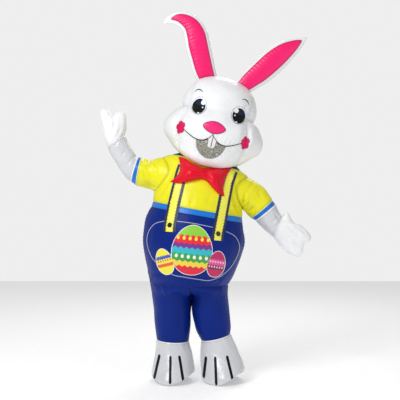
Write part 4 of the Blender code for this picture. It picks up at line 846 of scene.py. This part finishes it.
turn = np.linspace(0, 2 * pi, armCut["columns"] + 1)
for side, seed in (("r", 41), ("l", 42)):
    outward = -1 if side == "r" else 1
    swing = armholeReach * np.sin(turn)
    start = torso(swing if side == "l" else pi - swing, middle + reachRows * np.cos(turn))
    start = start + np.array([outward * armCut["armholeGap"] * mm, 0, 0])
    sleeve = [start] + [armRing(row, turn) for row in sleeveRings[side]]
    band = [sleeve[-1], armRing(bandEnd[side], turn)]
    forearm = [band[-1]] + [armRing(row, turn) for row in forearmRings[side]]

    def sleeveShape(points, down, across, side=side, seed=seed):
        # billows and pressed folds
        return armCut["sleeveBillow"] * billows(points, seed, 0.12) + creases(points, sleeveFolds[side])

    def forearmShape(points, down, across, side=side, seed=seed):
        # billows, gathered waves at both ends, and pressed folds
        upper = np.exp(-down / 16) * waves(across, seed + 4, 26)
        lower = np.exp(-(down[-1:] - down) / 14) * waves(across, seed + 6, 26)
        lift = armCut["forearmBillow"] * billows(points, seed + 2, 0.09) + armCut["gather"] * (upper + lower)
        return lift + creases(points, forearmFolds[side])

    parts = (
        ("sleeve", sleeve, "yellow", sleeveShape, (1.8, 14.0, 20.0), ["shirt_front", "shirt_back"]),
        ("sleeve_band", band, "cuff", None, (0.5, 6.0, 22.0), [f"sleeve_{side}"]),
        ("forearm", forearm, "silver", forearmShape, (1.2, 9.0, 16.0), [f"sleeve_band_{side}"]),
    )
    steps = (armCut["sleeveSteps"], armCut["bandSteps"], armCut["forearmSteps"])
    for k, (part, rings, paint, folds, pucker, rests) in enumerate(parts):
        sew(f"{part}_{side}", loft(rings, steps[k]), cloth[paint], ring=True, sewn=("first", "last"),
            folds=folds, pucker=pucker, seed=seed + k, restsOn=rests)

# across and up, from the thumb's side round the fingers
gloveOutline = {
    "r": [
        (-475.8, 1621.7), (-477.8, 1664.4), (-480.4, 1705.8), (-492.0, 1733.0), (-516.6, 1738.2),
        (-540.6, 1728.5), (-557.4, 1708.4),
        (-579.4, 1725.2), (-602.1, 1749.2), (-628.0, 1753.7), (-645.5, 1734.9), (-639.0, 1679.9),
        (-630.6, 1613.9), (-612.4, 1545.9),
    ],
    "l": [
        (534.0, 1073.0), (552.0, 1084.0), (568.0, 1076.0), (585.0, 1040.6), (612.7, 1011.7),
        (644.8, 1003.4), (687.2, 962.9), (710.3, 930.8), (706.4, 896.1),
        (674.3, 883.3), (662.8, 857.6), (660.2, 826.8), (633.2, 795.9), (592.1, 808.8), (553.6, 828.1),
        (510.5, 868.5),
    ],
}
gloveFoldLines = {
    "r": [(-560, 1600, -540, 1690, 9, 5), (-600, 1640, -585, 1715, 8, 4), (-530, 1570, -500, 1640, 9, 5),
        (-560, 1545, -520, 1580, 7, 4)],
    "l": [
        (560, 1000, 600, 960, 9, 6), (585, 905, 640, 870, 9, 5), (600, 960, 655, 925, 9, 4),
        (545, 940, 575, 905, 8, 5), (640, 985, 672, 945, 8, 4),
    ],
}
gloveCut = {
    "forward": {"r": 24.0, "l": 62.0}, "heel": {"r": 0.0, "l": 5.0}, "start": 0.4, "thumbColumns": 4.0,
    "rows": 40, "columns": 84,
}
width = np.sin(np.linspace(0, pi / 2, gloveCut["rows"] + 1))[:, None, None]
for side, seed in (("r", 51), ("l", 52)):
    # two skins from the cuff's halves to the outline, thinning as the root of 1 - width squared
    wrist = forearmRings[side][-1]
    coarse = np.array(gloveOutline[side])
    position = np.linspace(0, len(coarse) - 1, gloveCut["columns"] + 1)
    outline = smoothRows(coarse, position)
    turn = pi * position / (len(coarse) - 1)
    toHand = coarse.mean(axis=0) - np.array([wrist[0], wrist[2]])
    toHand /= np.linalg.norm(toHand)
    root = (wrist[0] + toHand[0] * gloveCut["start"], wrist[1], wrist[2] + toHand[1] * gloveCut["start"])
    cuff = armRing(root + wrist[3:], turn)[:, [0, 2]] / mm + np.array([shoulderAcross, shoulderUp])
    nearThumb = np.clip(1 - position / gloveCut["thumbColumns"], 0, 1)
    heel = gloveCut["heel"][side] * nearThumb[:, None] * toHand
    flat = cuff + (outline - cuff) * width + heel[None] * 4 * width * (1 - width)
    fullness = np.clip(np.sin(turn), 0, 1)[None, :] ** (1 - 0.45 * width[..., 0])
    rise = wrist[5] * np.sqrt(1 - width[..., 0] ** 2) * fullness
    base = wrist[1] + (gloveCut["forward"][side] - wrist[1]) * width[..., 0]
    front, back = (place(flat[..., 0], base + way * rise, flat[..., 1]) for way in (1, -1))

    def gloveFolds(points, down, across, side=side, seed=seed):
        # billows, waves at the cuff and pressed folds, quiet over the last 25 mm
        quiet = np.clip((down[-1:] + 1e-6 - down) / 25, 0, 1)
        lift = 1.6 * billows(points, seed, 0.07) + 1.4 * np.exp(-down / 14) * waves(across, seed + 3, 24)
        return (lift + creases(points, gloveFoldLines[side])) * quiet

    sew(f"glove_{side}", np.concatenate([front, back[:, -2::-1]], axis=1), cloth["white"], ring=True,
        closedEnd=True, sewn=("first",), folds=gloveFolds, pucker=(0.8, 8.0, 16.0), wall=1.2, seed=seed,
        restsOn=[f"forearm_{side}"])
print("arms and gloves sewn")

headCut = {"seamPucker": (2.4, 20.0, 30.0), "billow": 2.4}
headFoldLines = [
    (-95, 1835, -52, 1722, 12, 4), (-75, 1700, -20, 1640, 10, 4), (300, 1770, 262, 1690, 11, 4),
    (330, 1640, 285, 1560, 10, 4), (-60, 1800, 5, 1770, 10, 2.5),
    (-120, 1600, -70, 1530, 12, 4), (250, 1480, 310, 1540, 12, 4), (20, 1470, 60, 1520, 10, 3),
]
window = -windowShare * np.cos(np.linspace(0, pi, 61))
flank = np.linspace(-1, -windowShare, 21)
share = np.concatenate([flank[:-1], window, -flank[-2::-1]])
smileRow = headRow(share * smile["reach"], smileHeight(share * smile["reach"]))
corner = smileHeight(windowShare * smile["reach"])
cup = corner - windowDepth * np.sqrt(np.clip(1 - (share / windowShare) ** 2, 0, 1))
chinRow = np.where(np.abs(share) < windowShare - 1e-6, headRow(share * smile["reach"], cup), smileRow)
ones = np.ones(share.shape)


def spread(low, high, steps):
    # even steps between two lines of rows
    return low + (high - low) * np.linspace(0, 1, steps + 1)[:, None]


def headFolds(seed, amount=1.0):
    # billows, and pressed folds on the front alone
    def folds(points, down, side):
        pressed = creases(points, headFoldLines) * (points[..., 1] < 0)
        return amount * headCut["billow"] * billows(points, seed, 0.17) + amount * pressed
    return folds


def sewHead(node, angle, rows, seed, folds=None, facing="front", restsOn=(), paint="white", **how):
    # a panel of the head's surface between given angles and rows
    how = {"pucker": headCut["seamPucker"], **how}
    sew(node, head(angle, rows), cloth[paint], facing=facing, folds=folds or headFolds(seed), seed=seed,
        restsOn=restsOn, **how)


chinRows = spread(0 * ones, chinRow, 34)
levels = (smileRow, pinchRow * ones, templeTop * ones, crownRow * ones)
faceBands = [spread(levels[k], levels[k + 1], steps) for k, steps in enumerate((26, 40, 24))]
faceRows = np.concatenate([faceBands[0], faceBands[1][1:], faceBands[2][1:]])
headSeams = ["temple_r", "temple_l", "cheek_r", "cheek_l"]
sewHead("face_panel", stripAngle(share[None, :], faceRows), faceRows, 61, restsOn=headSeams)
sewHead("chin_panel", stripAngle(share[None, :], chinRows), chinRows, 62, restsOn=["face_panel", "neck_band"])
pane = np.where(np.abs(share) < windowShare + 1e-6)[0]
paneRows = spread(chinRow[pane], smileRow[pane], 30)
sewHead("mouth_window", stripAngle(share[None, pane], paneRows), paneRows, 63, headFolds(62, 0.3),
        paint="window", pucker=(0.0, 4.0, 20.0), kind="net", restsOn=["face_panel", "chin_panel"])
seamRows = np.concatenate([chinRows[:-1, 0], faceRows[:, 0]])
backRows = np.repeat(seamRows[:, None], 73, axis=1)
sewHead("head_back", stripAngle(np.linspace(1, -1, 73)[None, :], backRows, back=True), backRows, 64,
        facing="back", restsOn=["neck_band", "temple_r", "temple_l"])
for name, low, high, seed in (("cheek", 0.0, pinchRow, 65), ("temple", pinchRow, templeTop, 66)):
    level = seamRows[(seamRows > low - 1e-6) & (seamRows < high + 1e-6)][:, None]
    angle = stripAngle(np.ones((1, 1)), level) * np.linspace(-1, 1, 57)[None, :]
    rows = np.repeat(level, 57, axis=1)
    for side, start in (("l", 0.0), ("r", pi)):
        sewHead(f"{name}_{side}", start + angle, rows, seed + (side == "l"), headFolds(seed), facing=side,
                restsOn=["face_panel", "head_back"])
print("head sewn")

facePanels = ["face_panel", "chin_panel", "mouth_window", "cheek_r", "cheek_l", "temple_r", "temple_l"]
nose = {"centre": (-2.6, -141.0), "half": (72.0, 39.0), "crown": 7.0, "waist": 0.28}
flower = {"across": 207.0, "height": -180.0, "half": (28.0, 42.0), "flat": (0.075, 0.084)}
turn = np.linspace(0, 2 * pi, 73)
fade = np.linspace(1, 0, 13)[:, None]
x = nose["half"][0] * np.cos(turn)
y = nose["half"][1] * np.sin(turn) * (1 - nose["waist"] * np.cos(turn) ** 2)
flat = toFront(nose["centre"][0] + x * fade, nose["centre"][1] + y * fade)
noseCloth = patch("nose_cloth", flat, facePanels, cloth["nose"], lift=0.5, thick=1.2,
                  crown=nose["crown"] * (1 - fade**2), closed=True, node="nose")
petals = 0.7 + 0.3 * np.abs(np.sin(2.5 * turn)) ** 0.55
for side, way in (("r", -1), ("l", 1)):
    x, y = flower["half"][0] * petals * np.cos(turn) * fade, flower["half"][1] * petals * np.sin(turn) * fade
    node = "cheek_flower_" + side
    made = patch(node + "_cloth", toFront(way * flower["across"] + x, flower["height"] + y), facePanels,
                 cloth["flower"], lift=0.5, thick=1.0, closed=True, node=node)
    declareSheet(made, *flower["flat"], "laid", ["face_panel_cloth"])
tooth = {"centre": 4.0, "wide": 25.0, "long": 70.0, "taper": 5.0, "round": 12.0, "overlap": 3.0, "gap": 2.0}
fall, over = np.meshgrid(np.linspace(0, 1, 25), np.linspace(0, 1, 13), indexing="ij")
for node, side in (("tooth_r", -1), ("tooth_l", 1)):
    right = tooth["centre"] + side * (tooth["gap"] / 2 + over * (tooth["wide"] - tooth["taper"] * fall))
    top = smileHeight(right) + tooth["overlap"]
    low = smileHeight(tooth["centre"]) - tooth["long"] + tooth["round"] * over**3
    patch(node + "_cloth", toFront(right, top + (low - top) * fall), facePanels, cloth["tooth"], lift=0.5,
          thick=1.2, node=node, restsOn=["mouth_window_net"])


def facePrint(name, local, ink, names=facePanels, **how):
    # a print drawn in the head's own axes
    patch(name + "_print", toFront(local[..., 0], local[..., 1]), names, prints[ink], **how)


eye = {
    "side": 127.6, "height": -24.9, "half": (41.0, 50.5), "rim": (49.0, 58.0), "rimWidth": 2.2,
    "shine": (23.5, 26.0), "shineHalf": (14.0, 15.68), "spark": (26.0, -7.5), "sparkHalf": (5.0, 5.0),
    "notch": (7.5, -48.0), "notchHalf": (6.0, 4.5), "tint": (0.0, 22.0), "tintHalf": (30.34, 16.0),
    "lashes": ((-22, -0.5), (-8, -0.2), (6, 0.1), (19, 0.4)), "lashUp": 55.0, "lash": 9.0,
}
for side, flip in (("r", -1), ("l", 1)):
    def spotOn(dx, dy):
        # a place beside the eye's centre, toward the head's middle and up
        return flip * eye["side"] - flip * dx, eye["height"] + dy

    ground = (eye["rim"][0] - eye["rimWidth"], eye["rim"][1] - eye["rimWidth"])
    for part, centre, half, ink, lift in (
        ("rim", spotOn(0, 0), eye["rim"], "rim", 0.4),
        ("ground", spotOn(0, 1), ground, "white", 1.1),
        ("pupil", spotOn(0, -3), eye["half"], "black", 1.8),
        ("tint", spotOn(*eye["tint"]), eye["tintHalf"], "navy", 2.5),
        ("shine", spotOn(*eye["shine"]), eye["shineHalf"], "white", 3.2),
        ("spark", spotOn(*eye["spark"]), eye["sparkHalf"], "white", 3.2),
        ("notch", spotOn(*eye["notch"]), eye["notchHalf"], "white", 2.5),
    ):
        facePrint(f"eye_{side}_{part}", disc(centre, *half), ink, lift=lift, thick=0.5, closed=True)
    t = np.linspace(0, 1, 8)
    for k, (dx, lean) in enumerate(eye["lashes"]):
        root = (flip * eye["side"] + dx, eye["height"] + eye["lashUp"] - 0.02 * dx * dx)
        line = np.stack([root[0] + lean * eye["lash"] * t, root[1] + eye["lash"] * t], axis=-1)
        facePrint(f"eye_{side}_lash_{k}", ribbon(line, 1.5 * (1 - 0.8 * t)), "line", lift=0.5, thick=0.3)
brows = {
    "r": [(-179, 62), (-166, 77), (-150, 82), (-135, 76), (-124, 66)],
    "l": [(124, 82), (137, 87), (151, 86), (165, 77), (175, 61)],
}
t = np.linspace(0, 1, 25)
for side, line in brows.items():
    line = smoothRows(line, t * (len(line) - 1))
    facePrint(f"brow_{side}", ribbon(line, 0.6 + 2.6 * np.sin(pi * t)), "line", lift=0.5, thick=0.3)
for side, span in (("r", np.linspace(-187, 0.0, 60)), ("l", np.linspace(0.0, 187, 60))):
    local = ribbon(np.stack([span, smileHeight(span) + 3.4], axis=-1), 3.1 - 1.6 * (np.abs(span) / 187) ** 2)
    facePrint(f"mouth_line_{side}", local, "line", lift=0.6, thick=0.4)
t = np.linspace(0, 1, 20)
local = ribbon(np.stack([3.9 + 0 * t, -192 - 66 * t], axis=-1), 1.4 + 0.6 * t)
facePrint("tooth_line", local, "line", facePanels + ["tooth_r", "tooth_l"], lift=0.3, thick=0.4)
print("face laid on")

# across, up and half width, from the root to the tip
earRings = {
    "ear_r": [
        (49.4, 1940.7, 64), (26.3, 2006.7, 73), (5.5, 2088.2, 77), (-12.4, 2163.0, 80), (-26.6, 2231.2, 77),
        (-61.1, 2295.6, 66), (-128.7, 2335.2, 50), (-195.0, 2328.8, 28), (-243.1, 2302.1, 0),
    ],
    "ear_l": [
        (268.5, 1886.8, 53), (321.8, 1933.6, 68), (390.7, 1988.8, 80), (473.8, 2062.2, 83),
        (546.0, 2120.8, 72),
        (604.5, 2159.8, 53), (653.2, 2190.3, 30), (696.8, 2216.3, 0),
    ],
}
earCut = {
    "depth": 0.5, "lining": 0.76, "liningEnd": {"ear_r": 6.9, "ear_l": 6.1}, "forward": 20.0, "steps": 90,
    "pucker": (1.8, 14.0, 24.0), "billow": 0.9, "gapUp": 0.6,
}


def earPoint(name, row, angle):
    # puffed ellipses across a bent centre line
    across, up, wide = np.moveaxis(smoothRows(earRings[name], row), -1, 0)
    ahead, behind = (smoothRows(earRings[name], np.asarray(row) + step) for step in (0.02, -0.02))
    lean = np.arctan2(ahead[..., 1] - behind[..., 1], ahead[..., 0] - behind[..., 0])
    wide = np.maximum(wide, 0)
    reach = wide * np.cos(angle)
    forward = earCut["forward"] + earCut["depth"] * wide * np.sin(angle)
    return place(across + reach * np.sin(lean), forward, up - reach * np.cos(lean))


def earSkin(name, row, angle):
    # below its first ring the ear runs straight on to the head
    lower, zero = np.minimum(row, 0.0)[..., None], np.zeros(np.shape(row))
    first, second = earPoint(name, zero, angle), earPoint(name, zero + 0.3, angle)
    return np.where(lower < 0, first + (first - second) / 0.3 * -lower, earPoint(name, np.maximum(row, 0),
    angle))


def earRoot(name, angle):
    # the row at which the ear leaves the head
    rings = smoothRows(headRings, np.linspace(templeTop - 5, crownRow, 200))
    low, high = np.full(np.shape(angle), -0.8), np.full(np.shape(angle), 2.5)
    for _ in range(40):
        row = (low + high) / 2
        point = earSkin(name, row, angle)
        x, y = point[..., 0] / mm + shoulderAcross - headAcross, -point[..., 1] / mm
        z = point[..., 2] / mm + shoulderUp - headUp
        right = x * math.cos(headRoll) - z * math.sin(headRoll)
        level = x * math.sin(headRoll) + z * math.cos(headRoll) - earCut["gapUp"]
        shift, wide, front, back = (np.interp(level, rings[:, 1], rings[:, k]) for k in (0, 2, 3, 4))
        deep = np.maximum(np.where(y >= 0, front, back), 0.5)
        inside = (((right - shift) / wide) ** 2 + (y / deep) ** 2 < 1) & (level < rings[-1, 1])
        low, high = np.where(inside, row, low), np.where(inside, high, row)
    return row


for name, rings in earRings.items():
    tip, liningTip = len(rings) - 1.0, earCut["liningEnd"][name]
    fine = np.linspace(0, tip, 300)
    edges = [np.diff(earPoint(name, fine, np.full(300, a)), axis=0) for a in (0.0, pi)]
    gone = np.concatenate([[0], np.cumsum(np.linalg.norm(edges, axis=2).max(axis=0))])
    rise = np.interp(np.linspace(0, gone[-1], earCut["steps"] + 1), gone, fine / tip)[:, None]

    def liningAngle(share, row):
        # the angle at a share of the lining's half width, which closes as the root of 1 - height to the sixth
        keep = earCut["lining"] * np.sqrt(np.clip(1 - (np.maximum(row, 0) / liningTip) ** 6, 0, 1))
        return np.arccos(np.clip(share * keep, -1, 1))

    share = np.linspace(1, -1, 25)[None, :]
    root = earRoot(name, liningAngle(share, np.zeros((1, 1))))
    row = root + (liningTip - root) * rise
    lining = earSkin(name, row, liningAngle(np.repeat(share, len(rise), axis=0), row))
    angle = np.linspace(0, -pi, 33)[None, :]
    root = earRoot(name, angle)
    row = root + (tip - root) * rise
    back = earSkin(name, row, np.repeat(angle, len(rise), axis=0))
    halves = []
    for side in (1, -1):
        # half a rim, between the lining's edge and the ear's edge
        outerAngle = 0.0 if side == 1 else pi
        inner = earRoot(name, liningAngle(side * np.ones((1, 1)), np.zeros((1, 1))))
        outer = earRoot(name, np.full((1, 1), outerAngle))
        innerRow, outerRow = inner + (liningTip - inner) * rise, outer + (tip - outer) * rise
        share = np.linspace(0, 1, 7)[None, :]
        row = innerRow + (outerRow - innerRow) * share
        start = liningAngle(side * np.ones_like(innerRow), innerRow)
        angle = start + (outerAngle - start) * share
        angle[-1] = pi / 2
        halves.append(earSkin(name, row, angle))
    rim = np.concatenate([halves[0], halves[1][-2::-1]], axis=0)
    tag = name[-1]

    def earFolds(points, down, side, seed=ord(tag)):
        return earCut["billow"] * billows(points, seed, 0.12)

    how = {"folds": earFolds, "pucker": earCut["pucker"], "wall": 1.0, "restsOn": [f"ear_rim_{tag}"]}
    sew(f"ear_inner_{tag}", lining, cloth["pink"], seed=71, **how)
    sew(f"ear_back_{tag}", back, cloth["white"], facing="back", seed=72, **how)
    sew(f"ear_rim_{tag}", rim, cloth["white"], pucker=(0.0, 4.0, 20.0), wall=1.0, seed=73,
        restsOn=["head_back"])
print("ears sewn")

# across and up along each strap's middle
strapLines = {
    "suspender_r": [(-101.0, 1376.0), (-115.4, 1330.0), (-133.0, 1257.6), (-162.0, 1130.0),
        (-184.0, 1008.0), (-186.0, 968.0)],
    "suspender_l": [(203.0, 1349.0), (188.0, 1310.0), (171.3, 1257.6), (141.0, 1110.0), (110.0, 955.0),
        (106.0, 915.0)],
}
strapCut = {"halfWidth": 38.0, "steps": 90, "columns": 13}
bodyPanels = ["shirt_front", "belt_front", "overalls_front"]
for name, line in strapLines.items():
    line = smoothRows(line, np.linspace(0, len(line) - 1, strapCut["steps"] + 1))
    flat = ribbon(line, strapCut["halfWidth"], strapCut["columns"])
    patch(name + "_cloth", flat, bodyPanels, cloth["strap"], lift=0.8, thick=1.2, node=name,
          restsOn=["shirt_front_cloth", "overalls_front_cloth"])

# across and up of the low, middle and top edge, and the height of the puff, from the right tip to the left
bowRings = [
    (-188.6, 1277.8, -129.4, 1340.7, -138.6, 1437.0, 2), (-132.5, 1265.1, -92.4, 1346.9, -98.6, 1429.0, 44),
    (-57.9, 1277.8, -49.3, 1340.7, -49.3, 1397.0, 56), (10.6, 1290.6, 14.5, 1334.5, 13.4, 1366.0, 44),
    (46.3, 1272.5, 52.5, 1322.2, 54.5, 1361.0, 42), (80.1, 1232.9, 89.3, 1303.7, 98.6, 1361.0, 54),
    (117.1, 1197.9, 120.2, 1285.2, 152.1, 1364.0, 44), (152.1, 1184.8, 152.1, 1279.1, 205.0, 1366.0, 2),
]
bowCut = {
    "knot": 3.55, "knotHalf": 0.28, "pinch": 9.0, "rays": 5.0, "raysFade": 1.3, "rear": 125.0, "least": 3.0,
    "thin": 2.0,
}
along, rise = np.meshgrid(np.linspace(0, 7, 106), np.linspace(0, 2, 45), indexing="ij")
values = smoothRows(bowRings, along)
weights = ((rise - 1) * (rise - 2) / 2, rise * (2 - rise), rise * (rise - 1) / 2)
flat = sum(weight[..., None] * values[..., 2 * i : 2 * i + 2] for i, weight in enumerate(weights))
low = lay(flat, ["shirt_front", "neck_band", "suspender_r", "suspender_l"], 1.0)[0]
ahead = np.clip(-low[..., 1], 0, -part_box("bow_tie")[0][1])
back = np.maximum(ahead / mm, bowCut["rear"]) + 1.0
arch = np.sin(pi * rise / 2)
puff = np.clip(values[..., 6], 0, None) * arch**0.6
knot = np.exp(-(((along - bowCut["knot"]) / bowCut["knotHalf"]) ** 2))
spokes = waves(rise * 60 + 40, 81, 34) * np.exp(-np.abs(along - bowCut["knot"]) / bowCut["raysFade"])
frontRise = bowCut["least"] + puff + spokes * bowCut["rays"] * arch - bowCut["pinch"] * knot * arch
front = place(flat[..., 0], back + np.clip(frontRise, bowCut["thin"], None), flat[..., 1])
rear = place(flat[..., 0], back, flat[..., 1])
bow = skin("bow_tie_cloth", front, rear, cloth["red"], *seamReach(front, allEdges))
standFor(bow, "bow_tie")
print("braces and bow laid on")

# places in the front picture, in its pixels
pocketLine = [
    (164.1, 221.3), (153.8, 224.4), (146.9, 232.8), (145, 243.5), (148.4, 255), (154.5, 263.4),
    (170.6, 274.9), (182.9, 277.6), (198.2, 280.2),
    (207.3, 281.8), (216.5, 280.2), (225.7, 274.9), (233.4, 267.2), (238.7, 258), (241, 248.9),
    (238.7, 241.2), (234.1, 235.9), (226.5, 232),
]


def fromPicture(points, depth):
    # picture places to across and up at a depth in front of the body's middle, seen from 5 m away
    points, scale = np.array(points, float), (5.0 - depth) / 5.0
    return np.stack([(points[:, 0] - 200) * 6.5 * scale, 1162 + (200 - points[:, 1]) * 6.5 * scale], axis=-1)


overallsPanels = ["overalls_front", "leg_front_r", "leg_front_l"]
pocketTop = [(176.7, 221.3), (194, 223.5), (212.7, 227.4)]
for name, line, count in (("line", pocketLine, 260), ("top", pocketTop, 40)):
    line = smoothRows(fromPicture(line, 0.33), np.linspace(0, len(line) - 1, count))
    patch(f"pocket_{name}_print", ribbon(line, 2.0), overallsPanels, prints["grey"], lift=0.4, thick=0.4)


def eggPrint(name, ground, bands, dots):
    # bands of colour by height, each edge a zigzag of the distance across, then rows of round dots
    n = Nodes(name, Roughness=0.42)
    up, across = n.attribute("eggUp"), n.attribute("eggAcross")
    level = n.plus(up, n.times(n.math("PINGPONG", across, 0.14), 0.55))
    paint = linear(ground)
    for height, colour in bands:
        paint = n.mix(n.over(level, height), paint, linear(colour))
    column = n.times(n.middle(across, 0.3), 0.3)
    for height, colour in dots:
        away = n.squares(column, n.math("SUBTRACT", up, height))
        paint = n.mix(n.under(away, 0.075**2), paint, linear(colour))
    n.paint(Base_Color=paint)
    return n.material


def eggShape(turn):
    # narrower at the top
    return 1 - 0.09 * np.sin(turn) * np.abs(np.cos(turn)) ** 1.5


eggs = {
    "big": {"centre": (192.0, 250.4), "half": (20.2, 25.0), "tilt": -6, "ground": "#E01838",
            "bands": [(-0.62, "#F0D23C"), (-0.42, "#2FA04A"), (-0.12, "#28B8C8"), (0.12, "#7A2A90"),
                (0.3, "#E8242E"), (0.62, "#8CCF3C")],
            "dots": [(-0.27, "#F8F4E0"), (0.47, "#FFE34A")]},
    "yellow": {"centre": (164.1, 262.6), "half": (8.6, 13.4), "tilt": 17, "ground": "#F2E43C",
               "bands": [(-0.35, "#E85A2C"), (-0.1, "#F2E43C"), (0.25, "#3C57B8"),
                   (0.5, "#F2E43C")], "dots": [(0.08, "#B02A6C")]},
    "pink": {"centre": (216.5, 265.0), "half": (8.9, 13.4), "tilt": -12, "ground": "#C01860",
             "bands": [(-0.4, "#8A1450"), (-0.05, "#E0559A"),
                 (0.4, "#C01860")], "dots": [(-0.22, "#FFD7E8"), (0.18, "#FFD7E8")]},
}
for name, egg in eggs.items():
    centre = fromPicture([egg["centre"]], 0.335)[0]
    wide, tall = egg["half"][0] * 6.07, egg["half"][1] * 6.07
    tilt = math.radians(egg["tilt"])
    pattern = eggPrint(f"{name} egg print", egg["ground"], egg["bands"], egg["dots"])
    for kind, grow, lift, material in (("_rim", 3.5, 0.4, prints["white"]), ("", 0.0, 0.8, pattern)):
        flat = disc(centre, wide + grow, tall + grow, tilt, rings=16, sectors=72, shape=eggShape)
        made = patch(f"egg_{name}{kind}_print", flat, overallsPanels, material, lift, 0.3, closed=True)
    spots = np.array([tuple(v.co) for v in made.data.vertices]) / mm
    dx, dy = spots[:, 0] + shoulderAcross - centre[0], spots[:, 2] + shoulderUp - centre[1]
    lean, rise = math.cos(tilt), math.sin(tilt)
    places = {"eggAcross": (dx * lean + dy * rise) / wide, "eggUp": (dy * lean - dx * rise) / tall}
    for label, values in places.items():
        made.data.attributes.new(label, "FLOAT", "POINT").data.foreach_set("value", values)

shoeStripes = {
    "foot_r": [((159.0, 357.0), (153.7, 380.3)), ((170.3, 357.0), (170.4, 382.4)), ((179.0, 356.9),
        (183.5, 380.4))],
    "foot_l": [((206.2, 358.6), (203.6, 379.6)), ((215.3, 357.6), (216.2, 384.0)), ((227.0, 356.5),
        (232.6, 379.1))],
}
t = np.linspace(0, 1, 30)
widths = 8.0 * np.minimum(1, 4 * np.sin(pi * np.linspace(0.02, 0.98, 30))) ** 0.5
for foot, stripes in shoeStripes.items():
    for k, ends in enumerate(stripes):
        top, low = fromPicture(ends, 0.17)
        line = top + (low - top) * t[:, None]
        patch(f"{foot}_stripe_{k}_print", ribbon(line, widths, 5), [foot], prints["black"], 0.5, 0.4)
print("prints laid on")

hardPieces = {"button_r": "black", "button_l": "black", "zip_slider": "metal", "zip_pull": "metal"}
for node, paint in hardPieces.items():  # these keep their solids
    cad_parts[node].data.materials.clear()
    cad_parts[node].data.materials.append(cloth[paint])
zipCut = {"rows": (0.7, 11.4), "count": 200, "halfWidth": 14.0}
line = smoothRows(torsoRings, np.linspace(*zipCut["rows"], zipCut["count"]))[:, :2]
backPanels = ["shirt_back", "belt_back", "overalls_back"]
patch("zip_tape_cloth", ribbon(line, zipCut["halfWidth"], 7), backPanels, cloth["navy"], lift=0.6, thick=0.9,
      side=-1, node="zip_tape", restsOn=["shirt_back_cloth", "overalls_back_cloth"])
print("zip laid on")

room = {"floor": 12.0, "world": 0.42, "seen": 0.86, "floorGlow": 0.3}
lamps = {
    "key": {"at": (-2.4, -3.4, 2.6), "power": 135.0, "size": 1.7},
    "fill": {"at": (3.0, -2.6, 0.6), "power": 16.0, "size": 2.4},
    "rim": {"at": (0.8, 2.8, 2.4), "power": 45.0, "size": 2.0},
}
bpy.ops.mesh.primitive_plane_add(size=room["floor"], location=(0, 0, -shoulderUp * mm))
floor = bpy.context.object
floor.name = "floor"
pale = plain("pale floor", linear("#F8F8F8"), 0.7, scale=20.0)
glow = pale.node_tree.nodes["Principled BSDF"].inputs
glow["Emission Color"].default_value = (1.0, 1.0, 1.0, 1.0)
glow["Emission Strength"].default_value = room["floorGlow"]
floor.data.materials.append(pale)
world = bpy.data.worlds.new("studio")
bpy.context.scene.world = world
world.use_nodes = True
studio = world.node_tree
skies = [studio.nodes["Background"], studio.nodes.new("ShaderNodeBackground")]
path, blend = studio.nodes.new("ShaderNodeLightPath"), studio.nodes.new("ShaderNodeMixShader")
studio.links.new(path.outputs["Is Camera Ray"], blend.inputs["Fac"])
for k, strength in enumerate((room["world"], room["seen"])):
    # the first lights the room, the second is the backdrop
    skies[k].inputs["Color"].default_value = (1.0, 1.0, 1.0, 1.0)
    skies[k].inputs["Strength"].default_value = strength
    studio.links.new(skies[k].outputs[0], blend.inputs[k + 1])
studio.links.new(blend.outputs[0], studio.nodes["World Output"].inputs["Surface"])
for name, values in lamps.items():
    lamp = bpy.data.lights.new(name, "AREA")
    lamp.energy, lamp.size = values["power"], values["size"]
    holder = bpy.data.objects.new(name, lamp)
    bpy.context.scene.collection.objects.link(holder)
    holder.location = values["at"]
    aim = -np.array(values["at"])
    turnUp = math.atan2(math.hypot(aim[0], aim[1]), -aim[2])
    holder.rotation_euler = (turnUp, 0, math.atan2(aim[1], aim[0]) - pi / 2)
view = {"lens": 69.2, "sensor": 36.0, "at": (-0.0345, -5.0, -0.238)}
lens = bpy.data.cameras.new("camera")
lens.lens, lens.sensor_width = view["lens"], view["sensor"]
camera = bpy.data.objects.new("camera", lens)
bpy.context.scene.collection.objects.link(camera)
camera.location = view["at"]
camera.rotation_euler = (pi / 2, 0, 0)
bpy.context.scene.camera = camera
bpy.context.scene.view_settings.view_transform = "Standard"
print("room ready")
